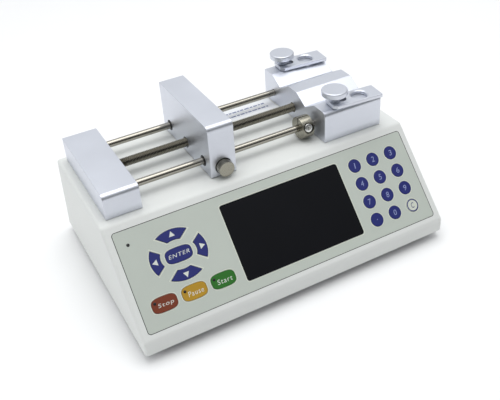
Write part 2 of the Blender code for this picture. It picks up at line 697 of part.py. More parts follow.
def build_pusher():
    corners = [(PUSHER_Y[0], PUSHER_Z[0]), (PUSHER_Y[1], PUSHER_Z[0]),
               (PUSHER_Y[1], PUSHER_Z[1]), (PUSHER_Y[0], PUSHER_Z[1])]
    profile = rounded_corners(corners, BLOCK_CORNERS)
    block = add_part("pusher_block", prism(profile, "X", *PUSHER_X), "blasted aluminium")
    round_edges(block, 0.4, 1)
    start = PUSHER_X[0] - 1
    end = PUSHER_X[1] + 1
    low = PUSHER_X[0] + NUT_POCKET_MARGIN
    high = PUSHER_X[1] - NUT_POCKET_MARGIN
    cut(block, along_x(start, end, ROD_FRONT_Y, BUSH_RADIUS + GAP),
        along_x(start, end, ROD_REAR_Y, BUSH_RADIUS + GAP))
    cut(block, along_x(start, end, SCREW_Y, SCREW_CLEARANCE_RADIUS))
    cut(block, box((low, NUT_POCKET_Y[0], PUSHER_Z[0] - 1), (high, NUT_POCKET_Y[1], NUT_Z[1] + 0.5)))
    cut(block, cylinder((BUTTON_X, PUSHER_Y[0] - 1, BUTTON_Z), (BUTTON_X, BUTTON_BORE_END_Y, BUTTON_Z),
                        BUTTON_BORE_RADIUS))
    cut(block, cylinder((BUTTON_X, BUTTON_BORE_END_Y - 1, STEM_Z), (BUTTON_X, NUT_POCKET_Y[0] + 1, STEM_Z),
                        STEM_RADIUS + GAP, 12))

    for name, y in (("bush_front", ROD_FRONT_Y), ("bush_rear", ROD_REAR_Y)):
        bush = add_part(name, along_x(PUSHER_X[0] - BUSH_PROUD, PUSHER_X[1] + BUSH_PROUD, y, BUSH_RADIUS),
                        "black plastic")
        cut(bush, along_x(start, end, y, ROD_RADIUS + GAP))

    nut_shape = box((low + GAP, NUT_Y[0], NUT_Z[0]), (high - GAP, NUT_Y[1], NUT_Z[1]))
    nut = add_part("half_nut", nut_shape, "brass")
    opened = slot_outline((SCREW_Y - BUTTON_TRAVEL, AXIS_Z), (SCREW_Y, AXIS_Z), SCREW_RADIUS + GAP)
    cut(nut, prism(opened, "X", start, end))

    head = cylinder((BUTTON_X, BUTTON_FRONT_Y, BUTTON_Z), (BUTTON_X, BUTTON_BACK_Y, BUTTON_Z), BUTTON_RADIUS)
    button = add_part("release_button", head, "stainless", origin=(BUTTON_X, BUTTON_BACK_Y, BUTTON_Z))
    round_edges(button, 0.5, 2)
    join(button, cylinder((BUTTON_X, BUTTON_BACK_Y - 2, STEM_Z), (BUTTON_X, NUT_Y[0] - GAP, STEM_Z),
                          STEM_RADIUS, 12))
    build_spring()


def build_spring():
    """A coil that pushes the button forwards, from the bore's floor to the button's back."""
    start = BUTTON_BACK_Y + GAP + SPRING_WIRE
    end = BUTTON_BORE_END_Y - GAP - SPRING_WIRE
    count = 36
    curve = bpy.data.curves.new("release_spring", "CURVE")
    curve.dimensions = "3D"
    curve.bevel_depth = SPRING_WIRE * MM
    curve.bevel_resolution = 1
    curve.use_fill_caps = True
    spline = curve.splines.new("POLY")
    spline.points.add(count)
    for i, point in enumerate(spline.points):
        share = i / count
        angle = math.tau * SPRING_TURNS * share
        place = Vector((SPRING_RADIUS * math.cos(angle), start + (end - start) * share,
                        SPRING_RADIUS * math.sin(angle)))
        point.co = (*(place * MM), 1)
    spring = bpy.data.objects.new("release_spring", curve)
    spring.location = Vector((BUTTON_X, 0, BUTTON_Z)) * MM
    curve.materials.append(new_material("release_spring", "steel"))
    PARTS.objects.link(spring)


# ---- Syringe holder ----

def holder_profile():
    groove_front = sum(FRONT_GROOVE_Y) / 2
    groove_rear = sum(REAR_GROOVE_Y) / 2
    corners = [(HOLDER_Y[0], DECK_Z + GAP, 0), (HOLDER_Y[1], DECK_Z + GAP, 0),
               (HOLDER_Y[1], HOLDER_TOP_Z, REAR_TOP_RADIUS), (REAR_GROOVE_Y[1], HOLDER_TOP_Z, 0),
               (groove_rear, GROOVE_BOTTOM_Z, GROOVE_RADIUS), (REAR_GROOVE_Y[0], HOLDER_TOP_Z, 0),
               (FRONT_GROOVE_Y[1], HOLDER_TOP_Z, 0), (groove_front, GROOVE_BOTTOM_Z, GROOVE_RADIUS),
               (FRONT_GROOVE_Y[0], HOLDER_TOP_Z, 0), (HOLDER_Y[0], HOLDER_TOP_Z, FRONT_TOP_RADIUS)]
    return rounded_corners([corner[:2] for corner in corners], [corner[2] for corner in corners])


def build_holder():
    block = add_part("holder_block", prism(holder_profile(), "X", *HOLDER_X), "blasted aluminium")
    round_edges(block, 0.4, 1)
    face = HOLDER_X[0] - 1
    cut(block, along_x(face, ROD_END_X + GAP, ROD_FRONT_Y, ROD_RADIUS + GAP),
        along_x(face, ROD_END_X + GAP, ROD_REAR_Y, ROD_RADIUS + GAP),
        along_x(face, HOLDER_X[0] + 2 * GAP + BEARING_WIDTH, SCREW_Y, BEARING_RADIUS + GAP))
    cut(block, along_x(HOLDER_X[0] + 2, SCREW_END_X + 1, SCREW_Y, SCREW_RADIUS + GAP))
    cut(block, *(cylinder((CLAMP_X, y, THUMB_END_Z - GAP), (CLAMP_X, y, HOLDER_TOP_Z + 1),
                          THUMB_THREAD_RADIUS + GAP) for y in (CLAMP_FRONT_Y, CLAMP_REAR_Y)))


def build_clamp(side, y):
    """A swinging plate under a thumb screw; its hinge axis is the screw's stem."""
    pivot = (CLAMP_X, y, HOLDER_TOP_Z + GAP)
    left, right = CLAMP_REACH
    corners = [(left, -CLAMP_HALF_WIDTH), (right, -CLAMP_HALF_WIDTH), (right, CLAMP_HALF_WIDTH),
               (left, CLAMP_HALF_WIDTH)]
    cut_corners = [(left, CLAMP_CHAMFER - CLAMP_HALF_WIDTH), (left + CLAMP_CHAMFER, -CLAMP_HALF_WIDTH)]
    outline = cut_corners + corners[1:3] + [(x, -across) for x, across in reversed(cut_corners)]
    plate_shape = prism(outline, "Z", 0, CLAMP_THICKNESS)
    bmesh.ops.translate(plate_shape, vec=Vector(pivot), verts=plate_shape.verts)
    plate = add_part("clamp_plate_" + side, plate_shape, "blasted aluminium", origin=pivot)
    plate.rotation_euler.z = CLAMP_REST_ANGLE
    round_edges(plate, 0.4, 1)
    slot = slot_outline((0, 0), (CLAMP_SLOT_LENGTH, 0), CLAMP_SLOT_HALF_WIDTH)
    holes = together(prism(slot, "Z", -1, CLAMP_THICKNESS + 1),
                     prism(circle((CLAMP_HOLE_X, 0), CLAMP_HOLE_RADIUS), "Z", -1, CLAMP_THICKNESS + 1))
    cutter = cut(plate, holes)
    cutter.location = plate.location
    cutter.rotation_euler = plate.rotation_euler

    seat = HOLDER_TOP_Z + 2 * GAP + CLAMP_THICKNESS
    top = THUMB_TOP_Z
    profile = [(0, top), (THUMB_RADIUS - 1.2, top), (THUMB_RADIUS - 0.35, top - 0.35),
               (THUMB_RADIUS, top - 1.2), (THUMB_RADIUS, top - 3.2), (THUMB_RADIUS - 0.8, top - 4),
               (7.0, top - 5.2), (4.6, top - 8), (4.2, seat), (THUMB_THREAD_RADIUS, seat),
               (THUMB_THREAD_RADIUS, THUMB_END_Z), (0, THUMB_END_Z)]
    turned("thumb_screw_" + side, profile, "stainless", (CLAMP_X, y, 0), sides=32)


def build_stop_collar():
    middle = Vector((sum(COLLAR_X) / 2, ROD_FRONT_Y, AXIS_Z))
    out = Vector((0, -math.cos(COLLAR_SCREW_TILT), math.sin(COLLAR_SCREW_TILT)))
    seat = middle + out * COLLAR_SCREW_SEAT
    ring = along_x(*COLLAR_X, ROD_FRONT_Y, COLLAR_RADIUS, 32)
    collar = add_part("stop_collar", ring, "stainless", origin=middle)
    round_edges(collar, 0.5, 2)
    cut(collar, along_x(COLLAR_X[0] - 1, COLLAR_X[1] + 1, ROD_FRONT_Y, ROD_RADIUS + GAP))
    cut(collar, cylinder(seat, middle + out * (COLLAR_RADIUS + 2), COLLAR_SCREW_HEAD_RADIUS + GAP, 20))
    cut(collar, cylinder(middle, seat + out, COLLAR_SCREW_SHANK_RADIUS + GAP, 12))
    cut(collar, box((COLLAR_X[0] - 1, ROD_FRONT_Y - COLLAR_SLIT / 2, AXIS_Z + 1),
                    (COLLAR_X[1] + 1, ROD_FRONT_Y + COLLAR_SLIT / 2, AXIS_Z + COLLAR_RADIUS + 1)))

    top = middle + out * COLLAR_SCREW_TOP
    head = cylinder(seat + out * GAP, top, COLLAR_SCREW_HEAD_RADIUS, 20)
    screw = add_part("stop_collar_screw", head, "dark steel", origin=middle)
    join(screw, cylinder(middle + out * COLLAR_SCREW_END, seat + out * 1.5, COLLAR_SCREW_SHANK_RADIUS, 12))
    cut(screw, cylinder(middle + out * COLLAR_SOCKET_FLOOR, top + out, COLLAR_SOCKET_RADIUS, 6))


# ---- Inside and rear ----

def rear_box(centre, size, low, high):
    return box((centre[0] - size[0] / 2, centre[1] - size[1] / 2, low),
               (centre[0] + size[0] / 2, centre[1] + size[1] / 2, high))


def build_rear_panel():
    low, high = REAR_PANEL_SPAN
    outline = rounded_rectangle((0, (low + high) / 2), (2 * REAR_PANEL_HALF_WIDTH, high - low), 1.7)
    panel = add_part("rear_panel", prism(outline, "Z", -REAR_PANEL_THICKNESS, 0), "sheet steel", parent=REAR)
    inlet = (INLET_CENTRE, REAR_ROW)
    connector = (CONNECTOR_CENTRE, REAR_ROW)
    cut(panel, rear_box(inlet, (INLET_BODY[0] + 2 * GAP, INLET_BODY[1] + 2 * GAP), -3, 1),
        rear_box(connector, (CONNECTOR_BODY[0] + 1, CONNECTOR_BODY[1] + 1), -3, 1))


def build_inlet():
    centre = (INLET_CENTRE, REAR_ROW)
    face = INLET_FACE
    inlet = add_part("power_inlet", rear_box(centre, INLET_FLANGE, GAP, face), "black plastic", parent=REAR)
    join(inlet, rear_box(centre, INLET_BODY, face - INLET_DEPTH, face - 0.5))
    socket = (INLET_CENTRE + SOCKET_SHIFT, REAR_ROW)
    corners = [(-0.5, -0.5), (0.5, -0.5), (0.5, 0.22), (0.3, 0.5), (-0.3, 0.5), (-0.5, 0.22)]
    outline = [(socket[0] + x * SOCKET_SIZE[0], socket[1] + y * SOCKET_SIZE[1]) for x, y in corners]
    bay = (INLET_CENTRE + ROCKER_SHIFT, REAR_ROW)
    pivot_height = face - ROCKER_PIVOT_DEPTH
    reach = HINGE_PIN_REACH + 0.5
    hinge_hole = cylinder((bay[0] - reach, bay[1], pivot_height), (bay[0] + reach, bay[1], pivot_height),
                          HINGE_PIN_RADIUS + GAP, 12)
    cut(inlet, prism(outline, "Z", face - SOCKET_DEPTH, face + 1),
        rear_box(bay, ROCKER_BAY, face - ROCKER_BAY_DEPTH, face + 1))
    cut(inlet, hinge_hole)
    pins = [rear_box((socket[0] + x, socket[1] + y), PIN_SIZE, face - SOCKET_DEPTH - 1, face - 3)
            for x, y in SOCKET_PINS]
    join(inlet, *pins)

    pivot = Vector((bay[0], bay[1], pivot_height))
    half = ROCKER_BAY[1] / 2 - 0.9
    foot_half, foot_z = ROCKER_FOOT
    outline = [(-half, ROCKER_LIP_Z), (-foot_half, foot_z), (foot_half, foot_z), (half, ROCKER_LIP_Z),
               (0, ROCKER_WAIST_Z)]
    rocker_shape = prism(outline, "X", -ROCKER_BAY[0] / 2 + 0.5, ROCKER_BAY[0] / 2 - 0.5)
    bmesh.ops.translate(rocker_shape, vec=pivot, verts=rocker_shape.verts)
    rocker = add_part("power_switch", rocker_shape, "black plastic", origin=pivot, parent=REAR)
    rocker.rotation_euler.x = ROCKER_REST_ANGLE
    side = Vector((HINGE_PIN_REACH, 0, 0))
    join(rocker, cylinder(pivot - side, pivot + side, HINGE_PIN_RADIUS, 12))


def build_connector():
    centre = (CONNECTOR_CENTRE, REAR_ROW)
    flange = rear_box(centre, CONNECTOR_FLANGE, GAP, CONNECTOR_FLANGE_FACE)
    connector = add_part("data_connector", flange, "sheet steel", parent=REAR)
    join(connector, rear_box(centre, CONNECTOR_BODY, -CONNECTOR_DEPTH, 1.0))
    narrow, wide = SHROUD_HALF_WIDTH
    corners = [(-narrow, -SHROUD_HALF_HEIGHT), (narrow, -SHROUD_HALF_HEIGHT),
               (wide, SHROUD_HALF_HEIGHT), (-wide, SHROUD_HALF_HEIGHT)]
    outline = [(centre[0] + x, centre[1] + y) for x, y in corners]
    hollow = inset(outline, SHROUD_WALL)
    join(connector, prism(outline, "Z", 0.5, SHROUD_FACE))
    cut(connector, prism(hollow, "Z", 1.5, SHROUD_FACE + 1))


def build_electronics():
    floor = BASE_Z + BASE_PLATE_THICKNESS + GAP
    case = box((*SUPPLY_LOW, floor), (*SUPPLY_HIGH, floor + SUPPLY_HEIGHT))
    supply = add_part("power_supply", case, "sheet steel")
    round_edges(supply, 1.0, 1)
    board_z = floor + POST_HEIGHT
    top = board_z + BOARD_THICKNESS
    board = add_part("main_board", box((*MAIN_BOARD_LOW, board_z), (*MAIN_BOARD_HIGH, top)), "circuit board")
    join(board, *(box((*low, top - 0.5), (*high, top + height)) for low, high, height in BOARD_BLOCKS))
    posts = [(x, y) for x in (MAIN_BOARD_LOW[0] + POST_INSET, MAIN_BOARD_HIGH[0] - POST_INSET)
             for y in (MAIN_BOARD_LOW[1] + POST_INSET, MAIN_BOARD_HIGH[1] - POST_INSET)]
    join(board, *(cylinder((x, y, floor), (x, y, board_z + 0.5), POST_RADIUS, 12) for x, y in posts))


build_case()
build_control_panel()
build_drive_line()
build_pusher()
build_holder()
build_clamp("front", CLAMP_FRONT_Y)
build_clamp("rear", CLAMP_REAR_Y)
build_stop_collar()
build_rear_panel()
build_inlet()
build_connector()
build_electronics()
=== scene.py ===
import json
import math

import bmesh
import bpy
from mathutils import Matrix, Vector


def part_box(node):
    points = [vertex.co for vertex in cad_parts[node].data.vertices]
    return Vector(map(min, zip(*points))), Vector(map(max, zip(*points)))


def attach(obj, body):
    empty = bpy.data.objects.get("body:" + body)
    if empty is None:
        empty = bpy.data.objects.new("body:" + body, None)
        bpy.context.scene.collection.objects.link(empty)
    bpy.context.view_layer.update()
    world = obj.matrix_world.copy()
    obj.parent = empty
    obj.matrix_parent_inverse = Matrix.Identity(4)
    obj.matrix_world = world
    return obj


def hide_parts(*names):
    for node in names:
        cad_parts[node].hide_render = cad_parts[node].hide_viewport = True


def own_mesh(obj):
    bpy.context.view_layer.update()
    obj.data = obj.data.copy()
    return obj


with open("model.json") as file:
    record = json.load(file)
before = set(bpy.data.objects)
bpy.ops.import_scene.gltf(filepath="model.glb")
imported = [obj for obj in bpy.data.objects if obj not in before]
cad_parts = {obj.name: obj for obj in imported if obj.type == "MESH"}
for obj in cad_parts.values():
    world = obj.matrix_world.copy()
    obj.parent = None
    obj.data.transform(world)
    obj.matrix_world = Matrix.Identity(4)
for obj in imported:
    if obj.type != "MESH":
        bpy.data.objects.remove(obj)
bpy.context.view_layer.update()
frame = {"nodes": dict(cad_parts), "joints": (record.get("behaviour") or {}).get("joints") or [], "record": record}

# Shapes are built in millimetres, in the frame's own axes, and stored in metres.
MM = 0.001
SKIN = 0.03  # how far a printed mark stands off the surface that it is on

# Camera: where it stands and how it is turned, in millimetres and degrees.
CAMERA_PLACE = (-228.7, -467.75, 422.4)
CAMERA_YAW = -25.99
CAMERA_PITCH = 34.86
CAMERA_ROLL = -4.14
CAMERA_LENS = 52.64
CAMERA_SHIFT = (0.0098, -0.0434)

# Case
DECK_REAR_Y = 81.35
REAR_Y = 97.14
WALL = 3.0
CASE_ROUNDING = 2.6
OVERLAY_THICKNESS = 1.0
POCKET_GAP = 0.3
POCKET_CORNER = 2.8
REBATE_DEPTH = 5.0
REBATE_CORNER = 2.0
# The seam ring round the overlay is painted shade: a dark ring that fills the gap between the overlay and its
# pocket.
SEAM_CLEARANCE = 0.02
SEAM_LAP = 0.2
SEAM_CORNER = 2.3
SEAM_HEIGHTS = (-0.7, 0.015)
# The dark backing sheet behind the overlay is painted shade.
BACKING_MARGIN = (1.0, 0.5)
BACKING_CORNER = 2.0
BACKING_DEPTHS = (1.2, 0.4)  # its faces, below the pocket's floor
# A foot's sole as (in from its edge, height).
FOOT_SOLE = ((3.4, 0.4), (2.9, 0), (1.2, 0), (0.4, 0.35), (0, 1.2))

# Keys and printed marks
KEY_LENGTH = 3.6
KEY_PROUD = 0.4
KEY_ROUNDING = 0.22
MARK_LIFT = 0.01  # the underside of a printed ring, above the panel
NUMBER_KEY_RADIUS = 5.75
# Each arrow key's direction and its half angles at the outer and inner side, in degrees.
ARROW_KEYS = {"key_up": (90, 33, 20), "key_right": (0, 28.5, 24), "key_down": (270, 33, 20),
              "key_left": (180, 28.5, 24)}
ARROW_OUTER = (23.4, 20.2)
ARROW_INNER = (15.2, 11.8)
ARROW_HEAD_SIZE = 2.8
ENTER_HALF = (10.8, 5.7)
RUN_KEYS = {"key_stop": ("Stop", "red"), "key_pause": ("Pause", "amber"), "key_start": ("Start", "green")}
RUN_KEY_HALF = (10.2, 5.8)
BARREL_POWER = 3.3
# The pale rim round each key, from RIM_START to RIM_END out from its edge, is a painted highlight of the key's
# raised edge.
RIM_START = 0.32
RIM_END = 1.0
CLEAR_RING = (0.25, 1.15)  # the outer and inner edge of its ring, in from the key's edge
LETTER_SPACING = 1.2
DIGIT_SIZE = (2.9, 4.7)
ONE_WIDTH = 1.5
POINT_SIZE = 0.8
DIGIT_LEAN = 0.12
ENTER_WORD_SIZE = (17.6, 2.9)
ENTER_LEAN = 0.25
RUN_WORD_SIZE = (12.8, 3.9)
RUN_WORD_SHIFT = (0.8, -0.7)
RUN_LEAN = 0.15
RUN_LAMP_SHIFT = (-7.3, 2.4)
RUN_LAMP_PROFILE = [(0, 0.45), (0.6, 0.4), (1.0, 0.25), (1.15, 0), (1.15, -0.3), (0, -0.3)]
PANEL_LAMP_PLACE = (-124.4, -11.9, 0)
PANEL_LAMP_PROFILE = [(0, 0.3), (0.7, 0.25), (1.3, 0.05), (1.3, 0), (0, 0)]
SCREEN_GAP = 0.32
SCREEN_BORDER = 0.75
SCREEN_CORNERS = (2.6, 2.0)

# Label on the deck
LABEL_LOW = (2.0, 52.3)
LABEL_HIGH = (64.0, 71.0)
LABEL_THICKNESS = 0.08
LABEL_INK_TOP = 0.1
LABEL_MARGIN = 4.0
LABEL_ROWS = (64.2, 57.6)
LABEL_BARS = 12
LABEL_BAR_HEIGHT = 2.0
LABEL_BAR_SHORTEST = 2.0
LABEL_BAR_SPREAD = 3.0
LABEL_BAR_GAP = 0.9

# Drive line
REAR_TOP_RADIUS = 1.5
FRONT_TOP_RADIUS = 4.5
BLOCK_ROUNDING = 0.35
BLOCK_EDGE_ANGLE = 60
ROD_HOLE = 3.3
ROD_HOLE_DEPTH = 6.0
ROD_CHAMFER = 0.5
ROD_BORE = 3.25  # in the bushes and the collar, round a guide rod
BEARING_HOLE = 8.3
BEARING_DEPTH = 5.3
END_POCKET_LOW = (-129, 12.8)
END_POCKET_HIGH = (-107.7, 40.8)
END_POCKET_TOP = 106.2
THREAD_PITCH = 1.25
THREAD_DEPTH = 0.55
THREAD_SLOPE = 2.2
THREAD_CREST = 0.05
THREAD_SIDES = 20
ROWS_PER_TURN = 6
PLAIN_LENGTH = 12  # the unthreaded left end
PLAIN_SHARE = 0.94  # its radius, as a share of the thread's

# Pusher
BUSH_HOLE = 4.9
BUSH_CHAMFER = 0.2
SCREW_PASSAGE = 5.0
NUT_POCKET_Y = (15.9, 39.9)
NUT_POCKET_MARGIN = 3.0
NUT_POCKET_TOP = 105.5
BUTTON_BORE = 7.4
BUTTON_BORE_END_Y = -12.9
BUTTON_HEAD_LENGTH = 9.05
BUTTON_STEM_Z = 89.9
BUTTON_STEM_RADIUS = 1.2
SPRING_RADIUS = 3.0
SPRING_WIRE = 0.25
SPRING_TURNS = 3

# Stop collar: its screw's parts are distances from the rod's axis, along the screw.
COLLAR_CHAMFER = (0.7, 0.2)
COLLAR_SLIT_HALF = 0.5
COLLAR_COUNTERBORE = (5, 12)
COLLAR_COUNTERBORE_RADIUS = 4.9
COLLAR_THREAD_END = 6
COLLAR_THREAD_RADIUS = 2.1
COLLAR_HEAD_START = 5.3
COLLAR_HEAD_PROFILE = [(0, 0), (3.3, 0), (3.65, 0.3), (3.75, 0.8), (3.75, 3.6), (3.5, 3.95), (3.1, 4.1),
                       (0, 4.1)]
COLLAR_SOCKET_START = 6.6
COLLAR_SOCKET_PROFILE = [(0, 0), (1.75, 0.4), (1.75, 6)]
COLLAR_SHANK = (3.8, 5.6)
COLLAR_SHANK_RADIUS = 1.8

# Syringe holder and its clamps
GROOVE_HALF_WIDTH = 14.05
GROOVE_DEPTH = 8.1
GROOVE_CORNER = 1.6
HOLDER_ROUNDING = 0.3
HOLDER_ROD_END_X = 90.3
HOLDER_SCREW_END_X = 79
HOLDER_SCREW_HOLE = 4.3
BEARING_LIP = 0.25
BEARING_LIP_HOLE = 4.7
THUMB_HOLE = 3.3
CLAMP_REACH = (-5.0, 42.0)
CLAMP_HALF = 9.5
CLAMP_CHAMFER = 3.2
CLAMP_CORNERS = (0.6, 0.6, 0.8, 0.8, 0.6, 0.6)
CLAMP_THICKNESS = 3.2
CLAMP_ROUNDING = 0.45
CLAMP_SLOT_LENGTH = 7.5
CLAMP_SLOT_RADIUS = 3.8
CLAMP_HOLE_PLACE = (24, 0, 0)
CLAMP_HOLE_RADII = (9.4, 8.1, 7.0)  # wide above the plate, at its face, and through it
CLAMP_TURN = -4.5
# A thumb screw's head: its top and rim as (in from its edge, down from its top), then its neck
# as (radius, down from its top).
KNOB_RIM = ((1.9, 0.15), (1.4, 0), (0.8, 0.1), (0.25, 0.5), (0, 1.1), (0, 4.2), (0.3, 4.9), (1.2, 5.5))
KNOB_DISH = 0.2
KNOB_NECK = ((8.0, 6.8), (6.2, 8.2), (5.0, 9.6))
KNOB_SEAT_GAP = 0.3
STUD_RADIUS = 3.0
STUD_ROOT = 2.65
STUD_TIP = 2.6

# Rear panel's screws
REAR_SCREW_MARGIN = (4.5, 5)
REAR_SCREW_PROFILE = [(0, 0.9), (1.4, 0.85), (2.4, 0.5), (2.8, 0.05), (2.8, 0), (0, 0)]
REAR_SCREW_LIFT = 0.02
CROSS_HALF = (1.5, 0.3)
CROSS_HEIGHTS = (0.45, 2)

# Stage: lamps in metres, watts, and the world's brightness from low and front to high and rear.
FLOOR_HALF = 4000
FLOOR_DEPTH = 20
LAMP_TARGET = (0, 0, 0.05)
WORLD_COLOUR = (0.96, 0.98, 1.0, 1)
WORLD_REARWARD = 0.45
WORLD_HEIGHTS = (0.05, 0.65)
WORLD_STRENGTHS = (0.12, 0.8)

COLOURS = {
    "case": (232, 234, 231), "overlay": (198, 205, 196), "screen": (16, 17, 21),
    "blue": (30, 38, 114), "pale": (216, 221, 208), "red": (122, 52, 24), "amber": (185, 143, 32),
    # print: real print round the screen, and a painted highlight in the rim round each key.
    "green": (38, 112, 28), "digit": (150, 160, 205), "word": (226, 230, 222), "print": (222, 227, 214),
    "aluminium": (218, 221, 229), "steel": (162, 158, 148), "screw": (124, 120, 109),
    "stainless": (152, 149, 137), "brass": (200, 165, 90), "black": (22, 22, 24), "rubber": (24, 24, 24),
    "plate": (190, 192, 194), "board": (22, 84, 52), "paper": (244, 246, 250), "ink": (132, 142, 175),
    "bright": (236, 236, 232), "floor": (254, 254, 254),
}


# ---- Outlines and solids ----

def node_box(node):
    low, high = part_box(node)
    return low / MM, high / MM


def arc(centre, radius, start, end, steps):
    """Points on a circle, or on an ellipse if radius is a pair, between two angles in degrees."""
    across, up = radius if isinstance(radius, tuple) else (radius, radius)
    angles = [math.radians(start + (end - start) * i / steps) for i in range(steps + 1)]
    return [(centre[0] + across * math.cos(a), centre[1] + up * math.sin(a)) for a in angles]


def circle(centre, radius, sides=64):
    return arc(centre, radius, 0, 360, sides)[:-1]


def barrel(centre, half, sides=72):
    """A rectangle with bulging sides and soft corners: a superellipse."""
    points = []
    for i in range(sides):
        angle = math.tau * i / sides
        across = math.copysign(abs(math.cos(angle)) ** (2 / BARREL_POWER), math.cos(angle))
        up = math.copysign(abs(math.sin(angle)) ** (2 / BARREL_POWER), math.sin(angle))
        points.append((centre[0] + half[0] * across, centre[1] + half[1] * up))
    return points


def rounded_corners(points, radii, steps=10):
    """An outline whose corners are arcs of the given radii; a zero radius keeps the corner."""
    outline = []
    for i, point in enumerate(points):
        corner = Vector(point)
        before = (Vector(points[i - 1]) - corner).normalized()
        after = (Vector(points[(i + 1) % len(points)]) - corner).normalized()
        if not radii[i]:
            outline.append(tuple(corner))
            continue
        half_angle = before.angle(after) / 2
        middle = corner + (before + after).normalized() * radii[i] / math.sin(half_angle)
        first = (corner + before * radii[i] / math.tan(half_angle) - middle).normalized()
        last = (corner + after * radii[i] / math.tan(half_angle) - middle).normalized()
        for step in range(steps + 1):
            outline.append(tuple(middle + first.slerp(last, step / steps) * radii[i]))
    return outline


def rectangle(low, high, radius, steps=8):
    corners = [low, (high[0], low[1]), high, (low[0], high[1])]
    return rounded_corners(corners, [radius] * 4, steps)


def inset(points, distance):
    """A convex outline, given anticlockwise, moved inwards by distance."""
    lines = []
    for i, point in enumerate(points):
        start = Vector(point)
        along = (Vector(points[(i + 1) % len(points)]) - start).normalized()
        lines.append((start + Vector((-along.y, along.x)) * distance, along))
    moved = []
    for i, (start, along) in enumerate(lines):
        other, other_along = lines[i - 1]
        offset = (start - other).cross(along) / other_along.cross(along)
        moved.append(tuple(other + other_along * offset))
    return moved


def prism(outline, axis, start, end):
    """An outline extruded along X, given as (y, z), or along Z, given as (x, y)."""
    shape = bmesh.new()
    if axis == "X":
        corners = [Vector((start, *point)) for point in outline]
    else:
        corners = [Vector((*point, start)) for point in outline]
    face = shape.faces.new([shape.verts.new(corner) for corner in corners])
    made = bmesh.ops.extrude_face_region(shape, geom=[face])
    top = [item for item in made["geom"] if isinstance(item, bmesh.types.BMVert)]
    along = Vector((1, 0, 0)) if axis == "X" else Vector((0, 0, 1))
    bmesh.ops.translate(shape, vec=along * (end - start), verts=top)
    bmesh.ops.recalc_face_normals(shape, faces=shape.faces)
    return shape


def box(low, high):
    corners = [(low[0], low[1]), (high[0], low[1]), (high[0], high[1]), (low[0], high[1])]
    return prism(corners, "Z", low[2], high[2])


def turned(profile, start, direction, sides=64):
    """A solid of revolution: profile runs as (radius, distance along direction from start)."""
    shape = bmesh.new()
    rings = []
    for radius, along in profile:
        if radius:
            angles = [math.tau * i / sides for i in range(sides)]
            points = [(radius * math.cos(angle), radius * math.sin(angle), along) for angle in angles]
        else:
            points = [(0, 0, along)]
        rings.append([shape.verts.new(point) for point in points])
    for low, high in zip(rings, rings[1:]):
        for i in range(sides):
            j = (i + 1) % sides
            corners = [low[i % len(low)], low[j % len(low)], high[j % len(high)], high[i % len(high)]]
            shape.faces.new(list(dict.fromkeys(corners)))
    if len(rings[0]) > 1:
        shape.faces.new(reversed(rings[0]))
    if len(rings[-1]) > 1:
        shape.faces.new(rings[-1])
    bmesh.ops.recalc_face_normals(shape, faces=shape.faces)
    turn = Vector((0, 0, 1)).rotation_difference(Vector(direction)).to_matrix().to_4x4()
    bmesh.ops.transform(shape, matrix=Matrix.Translation(Vector(start)) @ turn, verts=shape.verts)
    return shape


def rod(start, end, radius, sides=48):
    along = Vector(end) - Vector(start)
    return turned([(radius, 0), (radius, along.length)], start, along.normalized(), sides)


def ring(outer, inner, low, high):
    """A flat ring between two outlines with the same number of points."""
    shape = bmesh.new()
    loops = [[shape.verts.new((*point, height)) for point in outline]
             for outline, height in ((outer, low), (outer, high), (inner, high), (inner, low))]
    for first, second in zip(loops, loops[1:] + loops[:1]):
        for i in range(len(first)):
            j = (i + 1) % len(first)
            shape.faces.new((first[i], first[j], second[j], second[i]))
    bmesh.ops.recalc_face_normals(shape, faces=shape.faces)
    return shape


def to_object(name, shape, place, origin):
    """Puts a shape into an object, with the object's origin at origin."""
    bmesh.ops.transform(shape, matrix=Matrix.Translation(-Vector(origin)) @ place, verts=shape.verts)
    bmesh.ops.scale(shape, vec=(MM, MM, MM), verts=shape.verts)
    mesh = bpy.data.meshes.new(name)
    shape.to_mesh(mesh)
    shape.free()
    obj = bpy.data.objects.new(name, mesh)
    obj.location = Vector(origin) * MM
    bpy.context.scene.collection.objects.link(obj)
    return obj


def piece(name, shape, finish, body, place=Matrix(), origin=(0, 0, 0), rounding=0, segments=3,
          angle=40, cuts=(), replaces=()):
    """Makes a finished piece: rounds its edges, cuts it, smooths its normals and says what it rides on."""
    obj = to_object(name, shape, place, origin)
    helpers = []
    if rounding:
        bevel = obj.modifiers.new("rounding", "BEVEL")
        bevel.width = rounding * MM
        bevel.segments = segments
        bevel.limit_method = "ANGLE"
        bevel.angle_limit = math.radians(angle)
    for cutter_shape in cuts:
        cutter = to_object(name + "_cutter", cutter_shape, place, (0, 0, 0))
        helpers.append(cutter)
        modifier = obj.modifiers.new("cut", "BOOLEAN")
        modifier.operation = "DIFFERENCE"
        modifier.solver = "EXACT"
        modifier.object = cutter
    if obj.modifiers:
        bpy.context.view_layer.update()
        graph = bpy.context.evaluated_depsgraph_get()
        made = bpy.data.meshes.new_from_object(obj.evaluated_get(graph))
        obj.modifiers.clear()
        obj.data = made
        for helper in helpers:
            bpy.data.objects.remove(helper)
    obj.data.materials.clear()
    obj.data.materials.append(finish)
    obj.data.shade_smooth()
    obj.data.set_sharp_from_angle(angle=math.radians(38))
    weighted = obj.modifiers.new("normals", "WEIGHTED_NORMAL")
    weighted.keep_sharp = True
    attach(obj, body)
    if replaces:
        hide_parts(*replaces)
    return obj


# ---- Materials ----

def linear(value):
    value /= 255
    return value / 12.92 if value <= 0.04045 else ((value + 0.055) / 1.055) ** 2.4


